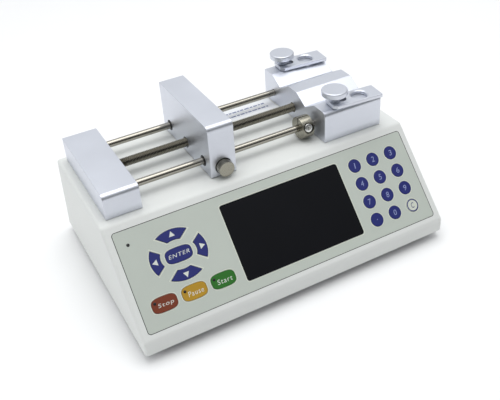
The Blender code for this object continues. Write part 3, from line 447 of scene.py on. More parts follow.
def surface(name, colour, metallic=0.0, roughness=0.5, grain=900.0, stretch=(1, 1, 1), shade=0.04,
            gloss=0.06, bump=0.15, depth=0.00004, cloud=25.0, specular=0.5, coat=0.0, speckle=0.0):
    """A Principled material with cloudy colour, uneven gloss and a fine bumpy grain.

    grain is the grain's frequency per metre, stretched by stretch; shade and gloss are how far
    colour and roughness wander; speckle adds dark pin-prick dots.
    """
    material = bpy.data.materials.new(name)
    material.use_nodes = True
    nodes = material.node_tree.nodes
    links = material.node_tree.links
    shader = nodes["Principled BSDF"]
    shader.inputs["Metallic"].default_value = metallic
    shader.inputs["Specular IOR Level"].default_value = specular
    shader.inputs["Coat Weight"].default_value = coat
    place = nodes.new("ShaderNodeTexCoord")
    scale = nodes.new("ShaderNodeMapping")
    scale.inputs["Scale"].default_value = stretch
    links.new(place.outputs["Object"], scale.inputs["Vector"])

    def noise(frequency, detail, vector):
        texture = nodes.new("ShaderNodeTexNoise")
        texture.inputs["Scale"].default_value = frequency
        texture.inputs["Detail"].default_value = detail
        links.new(vector, texture.inputs["Vector"])
        return texture.outputs["Fac"]

    clouds = noise(cloud, 4.0, place.outputs["Object"])
    grains = noise(grain, 3.0, scale.outputs["Vector"])
    both = nodes.new("ShaderNodeMath")
    both.operation = "ADD"
    links.new(clouds, both.inputs[0])
    links.new(grains, both.inputs[1])

    ramp = nodes.new("ShaderNodeMapRange")
    ramp.inputs["From Min"].default_value = 0.6
    ramp.inputs["From Max"].default_value = 1.4
    ramp.inputs["To Min"].default_value = 0.0
    ramp.inputs["To Max"].default_value = 1.0
    links.new(both.outputs[0], ramp.inputs["Value"])
    mix = nodes.new("ShaderNodeMix")
    mix.data_type = "RGBA"
    base = Vector([linear(value) for value in colour])
    mix.inputs["A"].default_value = (*(base * (1 - shade)), 1)
    mix.inputs["B"].default_value = (*(min(value * (1 + shade), 1) for value in base), 1)
    links.new(ramp.outputs["Result"], mix.inputs["Factor"])
    colour_out = mix.outputs["Result"]
    if speckle:
        dots = nodes.new("ShaderNodeTexVoronoi")
        dots.inputs["Scale"].default_value = grain / 3
        links.new(place.outputs["Object"], dots.inputs["Vector"])
        near = nodes.new("ShaderNodeMapRange")
        near.inputs["From Min"].default_value = 0.05
        near.inputs["From Max"].default_value = 0.25
        near.inputs["To Min"].default_value = speckle
        near.inputs["To Max"].default_value = 0.0
        links.new(dots.outputs["Distance"], near.inputs["Value"])
        darker = nodes.new("ShaderNodeMix")
        darker.data_type = "RGBA"
        darker.inputs["B"].default_value = (*(base * 0.5), 1)
        links.new(near.outputs["Result"], darker.inputs["Factor"])
        links.new(colour_out, darker.inputs["A"])
        colour_out = darker.outputs["Result"]
    links.new(colour_out, shader.inputs["Base Color"])

    rough = nodes.new("ShaderNodeMapRange")
    rough.inputs["From Min"].default_value = 0.6
    rough.inputs["From Max"].default_value = 1.4
    rough.inputs["To Min"].default_value = max(roughness - gloss, 0.03)
    rough.inputs["To Max"].default_value = min(roughness + gloss, 1.0)
    links.new(both.outputs[0], rough.inputs["Value"])
    links.new(rough.outputs["Result"], shader.inputs["Roughness"])

    relief = nodes.new("ShaderNodeBump")
    relief.inputs["Strength"].default_value = bump
    relief.inputs["Distance"].default_value = depth
    links.new(grains, relief.inputs["Height"])
    links.new(relief.outputs["Normal"], shader.inputs["Normal"])
    return material


def colour(name):
    return COLOURS[name]


CASE = surface("case_coating", colour("case"), roughness=0.5, grain=1500, bump=0.25, shade=0.015)
OVERLAY = surface("overlay_film", colour("overlay"), roughness=0.55, grain=4200, bump=0.3, shade=0.03)
SCREEN = surface("screen_window", colour("screen"), roughness=0.32, grain=3000, bump=0.03, specular=0.14,
                 shade=0.1)
ALUMINIUM = surface("blasted_aluminium", colour("aluminium"), 1.0, 0.42, grain=5200, bump=0.35, shade=0.05,
                    gloss=0.05)
STEEL = surface("ground_steel", colour("steel"), 1.0, 0.16, grain=900, stretch=(3, 1, 1), bump=0.03,
                shade=0.08, gloss=0.05, depth=0.00001)
SCREW = surface("screw_steel", colour("screw"), 1.0, 0.24, grain=1800, bump=0.1, shade=0.2, gloss=0.06)
STAINLESS = surface("turned_stainless", colour("stainless"), 1.0, 0.26, grain=1600, stretch=(4, 1, 1),
                    bump=0.06, shade=0.06, gloss=0.06, depth=0.00002)
BRIGHT = surface("bright_steel", colour("bright"), 1.0, 0.2, grain=1500, bump=0.05, gloss=0.06)
BRASS = surface("machined_brass", colour("brass"), 1.0, 0.3, grain=900, bump=0.2, shade=0.08)
BLACK = surface("black_moulding", colour("black"), roughness=0.45, grain=2600, bump=0.3, shade=0.2)
RUBBER = surface("black_rubber", colour("rubber"), roughness=0.8, grain=1800, bump=0.5, shade=0.25)
PLATE = surface("plated_sheet", colour("plate"), 1.0, 0.36, grain=1400, stretch=(1, 8, 8), bump=0.15,
                shade=0.06)
BOARD = surface("circuit_board", colour("board"), roughness=0.35, grain=700, bump=0.3, shade=0.25,
                speckle=0.4)
PAPER = surface("label_paper", colour("paper"), roughness=0.45, grain=3500, bump=0.2, shade=0.02)
INKS = {name: surface(name + "_ink", colour(name), roughness=0.42, grain=3800, bump=0.25, shade=0.06)
        for name in ("blue", "pale", "red", "amber", "green", "digit", "word", "print", "ink")}
FLOOR = surface("floor", colour("floor"), roughness=0.7, grain=300, bump=0.0, shade=0.005)


# ---- Places read from the frame ----

JOINTS = {joint["name"]: joint for joint in frame["joints"]}
PANEL_OUT = -Vector(JOINTS["key_1_press"]["axis"]).normalized()
PANEL_UP = PANEL_OUT.cross(Vector((1, 0, 0))).normalized()
overlay_low, overlay_high = node_box("keypad_overlay")
# The overlay's outer face meets its top edge at the highest point of its box.
PANEL_TOP = Vector((0, overlay_high.y + OVERLAY_THICKNESS * PANEL_OUT.y, overlay_high.z))
PANEL_TURN = Matrix((Vector((1, 0, 0)), PANEL_UP, PANEL_OUT)).transposed().to_4x4()
PANEL = Matrix.Translation(PANEL_TOP) @ PANEL_TURN
TO_PANEL = PANEL.inverted()
PANEL_HEIGHT = (overlay_high.z - overlay_low.z - OVERLAY_THICKNESS * PANEL_OUT.z) / PANEL_UP.z

case_low, case_high = node_box("housing_shell")
DECK_Z = case_high.z
DECK_FRONT = PANEL_TOP + PANEL_UP * (DECK_Z - PANEL_TOP.z) / PANEL_UP.z
LIP_TOP = PANEL_TOP + PANEL_UP * (case_low.y - PANEL_TOP.y) / PANEL_UP.y
CASE_PROFILE = [(case_low.y, case_low.z), (REAR_Y, case_low.z), (DECK_REAR_Y, DECK_Z),
                (DECK_FRONT.y, DECK_Z), (case_low.y, LIP_TOP.z)]
REAR_UP = Vector((0, DECK_REAR_Y - REAR_Y, DECK_Z - case_low.z)).normalized()
REAR_OUT = Vector((0, REAR_UP.z, -REAR_UP.y))
REAR_TURN = Matrix((Vector((-1, 0, 0)), REAR_UP, REAR_OUT)).transposed().to_4x4()
REAR = Matrix.Translation(Vector((0, REAR_Y, case_low.z))) @ REAR_TURN


def panel_centre(node):
    """Middle of a key on the panel, as (x, y) in the panel's own axes."""
    low, high = node_box(node)
    middle = TO_PANEL @ ((low + high) / 2)
    return (middle.x, middle.y)


# ---- Case ----

def build_case():
    outer_half = case_high.x
    inner_half = outer_half - WALL
    hollow = inset(CASE_PROFILE, WALL)
    below = case_low.z - WALL
    hollow[:1] = [(hollow[0][0], below), (hollow[1][0], below)]
    pocket_floor = -OVERLAY_THICKNESS - POCKET_GAP
    half_width = overlay_high.x + POCKET_GAP
    opening = rectangle((-half_width, -PANEL_HEIGHT - POCKET_GAP), (half_width, POCKET_GAP), POCKET_CORNER)
    pocket = prism(opening, "Z", pocket_floor, WALL)
    rear_low, rear_high = node_box("rear_panel")
    rear_half = rear_high.x + POCKET_GAP
    bottom = (REAR.inverted() @ Vector((0, rear_high.y, rear_low.z))).y - POCKET_GAP
    top = (REAR.inverted() @ Vector((0, rear_low.y, rear_high.z))).y + POCKET_GAP
    opening = rectangle((-rear_half, bottom), (rear_half, top), REBATE_CORNER)
    rebate = prism(opening, "Z", -REBATE_DEPTH, WALL)
    for shape, place in ((pocket, PANEL), (rebate, REAR)):
        bmesh.ops.transform(shape, matrix=place, verts=shape.verts)
    piece("case_shell", prism(CASE_PROFILE, "X", -outer_half, outer_half), CASE, "root",
          rounding=CASE_ROUNDING, segments=6,
          cuts=[prism(hollow, "X", -inner_half, inner_half), pocket, rebate], replaces=["housing_shell"])
    # A dark ring that fills the gap round the overlay, in the black rubber finish: painted shade of the gap
    # between the overlay and its pocket.
    edge = half_width - SEAM_CLEARANCE
    outer = rectangle((-edge, -PANEL_HEIGHT - POCKET_GAP + SEAM_CLEARANCE),
                      (edge, POCKET_GAP - SEAM_CLEARANCE), POCKET_CORNER)
    inner = rectangle((-overlay_high.x + SEAM_LAP, -PANEL_HEIGHT + SEAM_LAP),
                      (overlay_high.x - SEAM_LAP, -SEAM_LAP), SEAM_CORNER)
    piece("panel_seam_shade", ring(outer, inner, *SEAM_HEIGHTS), RUBBER, "root", place=PANEL)
    # A dark sheet in the pocket, behind the overlay, in the black moulding finish: painted shade behind the
    # overlay's openings.
    across, up = BACKING_MARGIN
    sheet = rectangle((-half_width + across, -PANEL_HEIGHT + up), (half_width - across, -up), BACKING_CORNER)
    faces = [pocket_floor - depth for depth in BACKING_DEPTHS]
    piece("panel_backing_shade", prism(sheet, "Z", *faces), BLACK, "root", place=PANEL)


def build_feet():
    for node in ("foot_front_left", "foot_front_right", "foot_rear_left", "foot_rear_right"):
        low, high = node_box(node)
        radius = (high.x - low.x) / 2
        height = high.z - low.z
        sole = [(radius - inwards, up) for inwards, up in FOOT_SOLE]
        profile = [(0, sole[0][1])] + sole + [(radius, height), (0, height)]
        centre = ((low.x + high.x) / 2, (low.y + high.y) / 2, low.z)
        piece(node + "_rubber", turned(profile, centre, (0, 0, 1)), RUBBER, "root",
              origin=centre, replaces=[node])


# ---- Control panel ----

def arrow_outline(centre, middle_angle, outer_half, inner_half, grow):
    """One quarter of the arrow ring round centre, on middle_angle, wider at its outer side."""
    outer = (ARROW_OUTER[0] + grow, ARROW_OUTER[1] + grow)
    inner = (ARROW_INNER[0] - grow, ARROW_INNER[1] - grow)
    spread = math.degrees(grow / ARROW_INNER[1])
    outer_half += spread
    inner_half += spread
    return (arc(centre, outer, middle_angle - outer_half, middle_angle + outer_half, 28)
            + arc(centre, inner, middle_angle + inner_half, middle_angle - inner_half, 20))


def key_outline(node, grow):
    if node in ARROW_KEYS:
        return arrow_outline(panel_centre("key_enter"), *ARROW_KEYS[node], grow)
    if node == "key_enter":
        return barrel(panel_centre(node), (ENTER_HALF[0] + grow, ENTER_HALF[1] + grow))
    if node in RUN_KEYS:
        return barrel(panel_centre(node), (RUN_KEY_HALF[0] + grow, RUN_KEY_HALF[1] + grow))
    return circle(panel_centre(node), NUMBER_KEY_RADIUS + grow)


def lettering(name, text, centre, size, lean, ink, body):
    """Plain lettering on a key, stretched to a width and height and lying on the key's face."""
    width, height = size
    curve = bpy.data.curves.new(name, "FONT")
    curve.body = text
    curve.size = 1
    curve.shear = lean
    curve.space_character = LETTER_SPACING
    curve.extrude = SKIN / 2 / height
    curve.resolution_u = 6
    holder = bpy.data.objects.new(name, curve)
    bpy.context.scene.collection.objects.link(holder)
    bpy.context.view_layer.update()
    graph = bpy.context.evaluated_depsgraph_get()
    mesh = bpy.data.meshes.new_from_object(holder.evaluated_get(graph))
    bpy.data.objects.remove(holder)
    shape = bmesh.new()
    shape.from_mesh(mesh)
    bmesh.ops.remove_doubles(shape, verts=shape.verts, dist=0.00001)
    xs = [vert.co.x for vert in shape.verts]
    ys = [vert.co.y for vert in shape.verts]
    across = width / (max(xs) - min(xs))
    up = height / (max(ys) - min(ys))
    for vert in shape.verts:
        vert.co = Vector(((vert.co.x - (max(xs) + min(xs)) / 2) * across + centre[0],
                          (vert.co.y - (max(ys) + min(ys)) / 2) * up + centre[1],
                          KEY_PROUD + (SKIN if vert.co.z > 0 else 0)))
    return piece(name, shape, ink, body, place=PANEL)


def build_key(node, ink):
    body = node + "_cap"
    cap = prism(key_outline(node, 0), "Z", KEY_PROUD - KEY_LENGTH, KEY_PROUD)
    low, high = node_box(node)
    piece(node + "_body", cap, ink, body, place=PANEL, origin=(low + high) / 2,
          rounding=KEY_ROUNDING, segments=3, angle=60, replaces=[node])
    # A pale ring round the key, in the print ink: a painted highlight of the key's raised edge.
    piece(node + "_rim_highlight", ring(key_outline(node, RIM_END), key_outline(node, RIM_START), MARK_LIFT, SKIN),
          INKS["print"], "root", place=PANEL)


def build_number_keys():
    words = {"key_" + digit: digit for digit in "0123456789"}
    words["key_dot"] = "."
    words["key_clear"] = "C"
    for node, text in words.items():
        clear = node == "key_clear"
        build_key(node, INKS["pale" if clear else "blue"])
        centre = panel_centre(node)
        size = {".": (POINT_SIZE, POINT_SIZE), "1": (ONE_WIDTH, DIGIT_SIZE[1])}.get(text, DIGIT_SIZE)
        lettering(node + "_mark", text, centre, size, DIGIT_LEAN, INKS["blue" if clear else "digit"],
                  node + "_cap")
        if clear:
            outer, inner = (circle(centre, NUMBER_KEY_RADIUS - inwards) for inwards in CLEAR_RING)
            piece("key_clear_ring", ring(outer, inner, KEY_PROUD, KEY_PROUD + SKIN), INKS["blue"],
                  "key_clear_cap", place=PANEL)


def triangle(centre, direction, size):
    """A small arrowhead that points along direction, in degrees."""
    return [(centre[0] + size * math.cos(math.radians(direction + turn)),
             centre[1] + size * math.sin(math.radians(direction + turn))) for turn in (0, 120, 240)]


def build_arrow_keys():
    centre = panel_centre("key_enter")
    for node, (direction, _, _) in ARROW_KEYS.items():
        build_key(node, INKS["blue"])
        across = round(math.cos(math.radians(direction)))
        up = round(math.sin(math.radians(direction)))
        spot = (centre[0] + across * (ARROW_OUTER[0] + ARROW_INNER[0]) / 2,
                centre[1] + up * (ARROW_OUTER[1] + ARROW_INNER[1]) / 2)
        head = prism(triangle(spot, direction, ARROW_HEAD_SIZE), "Z", KEY_PROUD, KEY_PROUD + SKIN)
        piece(node + "_arrow", head, INKS["word"], node + "_cap", place=PANEL)
    build_key("key_enter", INKS["blue"])
    lettering("key_enter_word", "ENTER", centre, ENTER_WORD_SIZE, ENTER_LEAN, INKS["word"], "key_enter_cap")


def build_run_keys():
    for node, (word, ink) in RUN_KEYS.items():
        build_key(node, INKS[ink])
        x, y = panel_centre(node)
        middle = (x + RUN_WORD_SHIFT[0], y + RUN_WORD_SHIFT[1])
        lettering(node + "_word", word, middle, RUN_WORD_SIZE, RUN_LEAN, INKS["word"], node + "_cap")
        spot = (x + RUN_LAMP_SHIFT[0], y + RUN_LAMP_SHIFT[1], KEY_PROUD)
        piece(node + "_lamp", turned(RUN_LAMP_PROFILE, spot, (0, 0, 1), 24), BLACK, node + "_cap",
              place=PANEL)


def build_panel_marks():
    low, high = node_box("display_window")
    length = (high.z - low.z - OVERLAY_THICKNESS * PANEL_OUT.z) / PANEL_UP.z
    top = -(PANEL_TOP.z - high.z) / PANEL_UP.z
    bottom = top - length
    outlines = [rectangle((low.x - grow, bottom - grow), (high.x + grow, top + grow), corner)
                for grow, corner in zip((SCREEN_GAP + SCREEN_BORDER, SCREEN_GAP), SCREEN_CORNERS)]
    piece("screen_border", ring(*outlines, MARK_LIFT, SKIN), INKS["print"], "root", place=PANEL)
    piece("panel_lamp", turned(PANEL_LAMP_PROFILE, PANEL_LAMP_PLACE, (0, 0, 1), 32), BLACK, "root",
          place=PANEL)


# ---- Drive line and pusher ----

def block_profile(low, high):
    corners = [(low.y, low.z), (high.y, low.z), (high.y, high.z), (low.y, high.z)]
    return rounded_corners(corners, [0, 0, REAR_TOP_RADIUS, FRONT_TOP_RADIUS], 12)


def axis_of(node):
    low, high = node_box(node)
    return (low.y + high.y) / 2, (low.z + high.z) / 2


def hole_along_x(node, start, end, radius):
    y, z = axis_of(node)
    return rod((start, y, z), (end, y, z), radius)


def build_end_block():
    low, high = node_box("end_block")
    shape = prism(block_profile(low, high), "X", low.x, high.x)
    cuts = [hole_along_x(node, high.x - ROD_HOLE_DEPTH, high.x + 1, ROD_HOLE)
            for node in ("guide_rod_front", "guide_rod_rear")]
    cuts.append(hole_along_x("end_bearing", high.x - BEARING_DEPTH, high.x + 1, BEARING_HOLE))
    cuts.append(box((*END_POCKET_LOW, low.z - 1), (*END_POCKET_HIGH, END_POCKET_TOP)))
    piece("end_block_body", shape, ALUMINIUM, "root", rounding=BLOCK_ROUNDING,
          cuts=cuts, angle=BLOCK_EDGE_ANGLE, replaces=["end_block"])


def build_rods():
    for node in ("guide_rod_front", "guide_rod_rear"):
        low, high = node_box(node)
        radius = (high.z - low.z) / 2
        y, z = axis_of(node)
        length = high.x - low.x
        profile = [(0, 0), (radius - ROD_CHAMFER, 0), (radius, ROD_CHAMFER), (radius, length - ROD_CHAMFER),
                   (radius - ROD_CHAMFER, length), (0, length)]
        piece(node + "_bar", turned(profile, (low.x, y, z), (1, 0, 0)), STEEL, "root",
              origin=(0, y, z), replaces=[node])


def build_lead_screw():
    """A round bar with a helical thread, made as one grid wrapped round the bar."""
    low, high = node_box("lead_screw")
    y, z = axis_of("lead_screw")
    radius = (high.z - low.z) / 2
    step = THREAD_PITCH / ROWS_PER_TURN
    start = low.x + PLAIN_LENGTH
    count = int((high.x - start) / step)
    shape = bmesh.new()

    def row_of_points(x, reach):
        """One turn of points round the screw at x; reach gives the radius for a share of the turn."""
        points = []
        for i in range(THREAD_SIDES):
            turn = i / THREAD_SIDES
            angle = math.tau * turn
            points.append(shape.verts.new((x, reach(turn) * math.cos(angle), reach(turn) * math.sin(angle))))
        return points

    def thread_radius(x, turn):
        phase = (x / THREAD_PITCH - turn) % 1
        height = min(1.0, max(0.0, THREAD_SLOPE * abs(phase - 0.5) - THREAD_CREST))
        return radius - THREAD_DEPTH * height

    rows = [[shape.verts.new((low.x, 0, 0))]]
    for x in (low.x, start - step):
        rows.append(row_of_points(x, lambda turn: radius * PLAIN_SHARE))
    for row in range(count + 1):
        x = start + row * step
        rows.append(row_of_points(x, lambda turn: thread_radius(x, turn)))
    rows.append([shape.verts.new((high.x, 0, 0))])
    for first, second in zip(rows, rows[1:]):
        for i in range(THREAD_SIDES):
            j = (i + 1) % THREAD_SIDES
            corners = [first[i % len(first)], first[j % len(first)],
                       second[j % len(second)], second[i % len(second)]]
            shape.faces.new(list(dict.fromkeys(corners)))
    bmesh.ops.recalc_face_normals(shape, faces=shape.faces)
    bmesh.ops.translate(shape, vec=(0, y, z), verts=shape.verts)
    piece("lead_screw_thread", shape, SCREW, "lead_screw_assembly", origin=(0, y, z),
          replaces=["lead_screw"])


def build_pusher():
    low, high = node_box("pusher_block")
    shape = prism(block_profile(low, high), "X", low.x, high.x)
    button_low, button_high = node_box("release_button")
    radius = (button_high.x - button_low.x) / 2
    head_x = (button_low.x + button_high.x) / 2
    head_z = button_high.z - radius
    cuts = [hole_along_x(node, low.x - 1, high.x + 1, BUSH_HOLE) for node in ("bush_front", "bush_rear")]
    cuts.append(hole_along_x("lead_screw", low.x - 1, high.x + 1, SCREW_PASSAGE))
    cuts.append(rod((head_x, low.y - 1, head_z), (head_x, BUTTON_BORE_END_Y, head_z), BUTTON_BORE))
    cuts.append(box((low.x + NUT_POCKET_MARGIN, NUT_POCKET_Y[0], low.z - 1),
                    (high.x - NUT_POCKET_MARGIN, NUT_POCKET_Y[1], NUT_POCKET_TOP)))
    piece("pusher_body", shape, ALUMINIUM, "pusher", rounding=BLOCK_ROUNDING, cuts=cuts,
          angle=BLOCK_EDGE_ANGLE, replaces=["pusher_block"])

    length = BUTTON_HEAD_LENGTH
    profile = [(0, 0), (radius - 0.75, 0), (radius - 0.2, 0.2), (radius, 0.75), (radius, length - 0.4),
               (radius - 0.4, length), (0, length)]
    head = turned(profile, (head_x, button_low.y, head_z), (0, 1, 0), 72)
    piece("release_button_head", head, STAINLESS, "release",
          origin=(head_x, button_low.y, head_z))
    stem = rod((head_x, button_low.y + length - 1, BUTTON_STEM_Z), (head_x, button_high.y, BUTTON_STEM_Z),
               BUTTON_STEM_RADIUS, 24)
    piece("release_button_stem", stem, STAINLESS, "release", replaces=["release_button"])

    for node in ("bush_front", "bush_rear"):
        bush_low, bush_high = node_box(node)
        y, z = axis_of(node)
        outer = (bush_high.z - bush_low.z) / 2
        length = bush_high.x - bush_low.x
        profile = [(outer - BUSH_CHAMFER, 0), (outer, BUSH_CHAMFER), (outer, length - BUSH_CHAMFER),
                   (outer - BUSH_CHAMFER, length)]
        bush = turned(profile, (bush_low.x, y, z), (1, 0, 0))
        hole = rod((bush_low.x - 1, y, z), (bush_high.x + 1, y, z), ROD_BORE)
        piece(node + "_sleeve", bush, BLACK, "pusher", cuts=[hole], origin=(0, y, z),
              replaces=[node])


def coil(start, end, centre, radius, wire, turns, sides=8, steps=30):
    """A round wire wound about a line along Y, from start to end."""
    shape = bmesh.new()
    count = turns * steps
    rings = []
    for step in range(count + 1):
        share = step / count
        angle = math.tau * turns * share
        outwards = Vector((math.cos(angle), 0, math.sin(angle)))
        middle = Vector((centre[0], start + (end - start) * share, centre[1])) + outwards * radius
        rings.append([shape.verts.new(middle + outwards * wire * math.cos(math.tau * i / sides)
                                      + Vector((0, wire * math.sin(math.tau * i / sides), 0)))
                      for i in range(sides)])
    for first, second in zip(rings, rings[1:]):
        for i in range(sides):
            j = (i + 1) % sides
            shape.faces.new((first[i], first[j], second[j], second[i]))
    shape.faces.new(rings[0])
    shape.faces.new(reversed(rings[-1]))
    bmesh.ops.recalc_face_normals(shape, faces=shape.faces)
    return shape


def build_spring():
    low, high = node_box("release_spring")
    centre = ((low.x + high.x) / 2, (low.z + high.z) / 2)
    shape = coil(low.y + SPRING_WIRE, high.y - SPRING_WIRE, centre, SPRING_RADIUS, SPRING_WIRE, SPRING_TURNS)
    spring = piece("release_spring_coil", shape, STEEL, "pusher",
                   replaces=["release_spring"])
    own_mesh(spring)


def build_collar():
    low, high = node_box("stop_collar")
    y, z = axis_of("stop_collar")
    radius = (high.y - low.y) / 2
    length = high.x - low.x
    out = Vector(JOINTS["stop_collar_screw_turn"]["axis"])
    middle = Vector(((low.x + high.x) / 2, y, z))
    wide, narrow = COLLAR_CHAMFER
    profile = [(radius - wide, 0), (radius - narrow, narrow), (radius, wide), (radius, length - wide),
               (radius - narrow, length - narrow), (radius - wide, length)]
    counterbore = [middle + out * distance for distance in COLLAR_COUNTERBORE]
    cuts = [rod((low.x - 1, y, z), (high.x + 1, y, z), ROD_BORE),
            rod(*counterbore, COLLAR_COUNTERBORE_RADIUS),
            rod(middle, middle + out * COLLAR_THREAD_END, COLLAR_THREAD_RADIUS),
            box((low.x - 1, y - COLLAR_SLIT_HALF, z + 1),
                (high.x + 1, y + COLLAR_SLIT_HALF, z + radius + 1))]
    body = turned(profile, (low.x, y, z), (1, 0, 0), 72)
    piece("stop_collar_ring", body, STAINLESS, "collar", cuts=cuts, origin=(middle.x, y, z),
          replaces=["stop_collar"])
    head = turned(COLLAR_HEAD_PROFILE, middle + out * COLLAR_HEAD_START, out, 48)
    socket = turned(COLLAR_SOCKET_PROFILE, middle + out * COLLAR_SOCKET_START, out, 6)
    piece("collar_screw_head", head, BRIGHT, "collar_screw", cuts=[socket], origin=middle)
    shank = rod(*(middle + out * distance for distance in COLLAR_SHANK), COLLAR_SHANK_RADIUS, 24)
    piece("collar_screw_shank", shank, SCREW, "collar_screw", replaces=["stop_collar_screw"])


# ---- Syringe holder ----

def build_holder():
    low, high = node_box("holder_block")
    grooves = {opening["name"]: opening["box_m"] for opening in frame["record"]["physics"]["openings"]}
    top = high.z
    corners = [(low.y, low.z, 0), (high.y, low.z, 0), (high.y, top, REAR_TOP_RADIUS)]
    for name in ("rear_syringe_groove", "front_syringe_groove"):
        middle = (grooves[name][0][1] + grooves[name][1][1]) / 2 / MM
        corners += [(middle + GROOVE_HALF_WIDTH, top, GROOVE_CORNER),
                    (middle, top - GROOVE_DEPTH, GROOVE_CORNER),
                    (middle - GROOVE_HALF_WIDTH, top, GROOVE_CORNER)]
    corners.append((low.y, top, FRONT_TOP_RADIUS))
    profile = rounded_corners([corner[:2] for corner in corners], [corner[2] for corner in corners], 10)
    cuts = [hole_along_x(node, low.x - 1, HOLDER_ROD_END_X, ROD_HOLE)
            for node in ("guide_rod_front", "guide_rod_rear")]
    cuts.append(hole_along_x("holder_bearing", low.x - 1, low.x + 1, BEARING_LIP_HOLE))
    cuts.append(hole_along_x("holder_bearing", low.x + BEARING_LIP, low.x + BEARING_DEPTH, BEARING_HOLE))
    cuts.append(hole_along_x("lead_screw", low.x + 4, HOLDER_SCREW_END_X, HOLDER_SCREW_HOLE))
    for node in ("thumb_screw_front", "thumb_screw_rear"):
        screw_low, screw_high = node_box(node)
        x = (screw_low.x + screw_high.x) / 2
        y = (screw_low.y + screw_high.y) / 2
        cuts.append(rod((x, y, screw_low.z - KNOB_SEAT_GAP), (x, y, top + 1), THUMB_HOLE))
    piece("holder_body", prism(profile, "X", low.x, high.x), ALUMINIUM, "root",
          rounding=HOLDER_ROUNDING, cuts=cuts, angle=BLOCK_EDGE_ANGLE, replaces=["holder_block"])


def build_clamp_plate(side, pivot):
    """A plate with a slot at its pivot and a dished hole near its far end."""
    near, far = CLAMP_REACH
    half = CLAMP_HALF
    corners = [(near, -half + CLAMP_CHAMFER), (near + CLAMP_CHAMFER, -half), (far, -half), (far, half),
               (near + CLAMP_CHAMFER, half), (near, half - CLAMP_CHAMFER)]
    outline = rounded_corners(corners, CLAMP_CORNERS, 4)
    slot = (arc((CLAMP_SLOT_LENGTH, 0), CLAMP_SLOT_RADIUS, -90, 90, 16)
            + arc((0, 0), CLAMP_SLOT_RADIUS, 90, 270, 16))
    above, face, through = CLAMP_HOLE_RADII
    dish = [(above, CLAMP_THICKNESS + 1), (face, CLAMP_THICKNESS + 0.02), (through, CLAMP_THICKNESS - 0.9),
            (through, -1)]
    hole = turned(dish, CLAMP_HOLE_PLACE, (0, 0, 1), 64)
    place = Matrix.Translation(pivot) @ Matrix.Rotation(math.radians(CLAMP_TURN), 4, "Z")
    piece("clamp_" + side + "_plate", prism(outline, "Z", 0, CLAMP_THICKNESS), ALUMINIUM, "clamp_" + side,
          place=place, rounding=CLAMP_ROUNDING,
          cuts=[prism(slot, "Z", -1, CLAMP_THICKNESS + 1), hole], angle=BLOCK_EDGE_ANGLE, origin=pivot,
          replaces=["clamp_plate_" + side])


def build_thumb_screw(side, pivot):
    """A dished knob that narrows to its seat on the plate, over a threaded stud."""
    low, high = node_box("thumb_screw_" + side)
    radius = (high.x - low.x) / 2
    top = high.z
    seat = pivot.z + CLAMP_THICKNESS + KNOB_SEAT_GAP
    profile = [(0, top - KNOB_DISH)]
    profile += [(radius - inwards, top - down) for inwards, down in KNOB_RIM]
    profile += [(neck, top - down) for neck, down in KNOB_NECK]
    profile += [(4.4, seat + 0.4), (4.0, seat), (STUD_RADIUS, seat)]
    for turn in range(int(seat - low.z - 1)):
        z = seat - 0.6 - turn
        profile += [(STUD_RADIUS, z), (STUD_ROOT, z - 0.5)]
    profile += [(STUD_TIP, low.z), (0, low.z)]
    x = (low.x + high.x) / 2
    y = (low.y + high.y) / 2
    piece("thumb_" + side + "_knob", turned(profile, (x, y, 0), (0, 0, 1), 72), ALUMINIUM, "thumb_" + side,
          origin=(x, y, top), replaces=["thumb_screw_" + side])


def build_clamp(side):
    pivot = Vector(JOINTS["clamp_" + side + "_swing"]["pos_m"]) / MM
    build_clamp_plate(side, pivot)
    build_thumb_screw(side, pivot)


def build_deck_label():
    """A plain paper label on the deck, behind the lead screw, with bars that stand for its print."""
    paper = prism(rectangle(LABEL_LOW, LABEL_HIGH, 1.0, 4), "Z", DECK_Z, DECK_Z + LABEL_THICKNESS)
    piece("deck_label", paper, PAPER, "root")
    for row, y in enumerate(LABEL_ROWS):
        x = LABEL_LOW[0] + LABEL_MARGIN
        for i in range(LABEL_BARS):
            # Five bar lengths, taken in an order that looks uneven.
            length = LABEL_BAR_SHORTEST + LABEL_BAR_SPREAD * ((i * 7 + row * 3) % 5) / 4
            bar = box((x, y, DECK_Z + LABEL_THICKNESS),
                      (x + length, y + LABEL_BAR_HEIGHT, DECK_Z + LABEL_INK_TOP))
            piece("label_bar_%d_%d" % (row, i), bar, INKS["ink"], "root")
            x += length + LABEL_BAR_GAP


# ---- Rear and inside ----

def build_rear_details():
    """The four cross-head screws of the rear panel."""
    low, high = node_box("rear_panel")
    middle = REAR.inverted() @ ((low + high) / 2)
    half_up = (high.z - low.z) / 2 / REAR_UP.z - REAR_SCREW_MARGIN[1]
    long, short = CROSS_HALF
    bottom, top = CROSS_HEIGHTS
    for i, (across, up) in enumerate(((-1, -1), (1, -1), (-1, 1), (1, 1))):
        x = across * (high.x - REAR_SCREW_MARGIN[0])
        y = middle.y + up * half_up
        cross = [box((x - half_x, y - half_y, bottom), (x + half_x, y + half_y, top))
                 for half_x, half_y in ((long, short), (short, long))]
        head = turned(REAR_SCREW_PROFILE, (x, y, REAR_SCREW_LIFT), (0, 0, 1), 40)
        piece("rear_screw_%d" % i, head, PLATE, "root", place=REAR, cuts=cross)


def dress_cad_nodes():
    """Gives each CAD node that still shows its own detailed material."""
    finishes = {
        "base_plate": PLATE, "rear_panel": CASE, "end_bearing": SCREW, "holder_bearing": SCREW,
        "screw_pulley": STAINLESS, "motor_pulley": STAINLESS, "timing_belt": RUBBER, "stepper_motor": BLACK,
        "motor_bracket": PLATE, "half_nut": BRASS, "keypad_overlay": OVERLAY,
        "display_window": SCREEN, "display_module": PLATE, "keypad_board": BOARD, "main_board": BOARD,
        "power_supply": PLATE, "power_inlet": BLACK, "power_switch": BLACK, "data_connector": PLATE,
    }
    for node, finish in finishes.items():
        mesh = frame["nodes"][node].data
        mesh.materials.clear()
        mesh.materials.append(finish)


# ---- Floor, light and camera ----

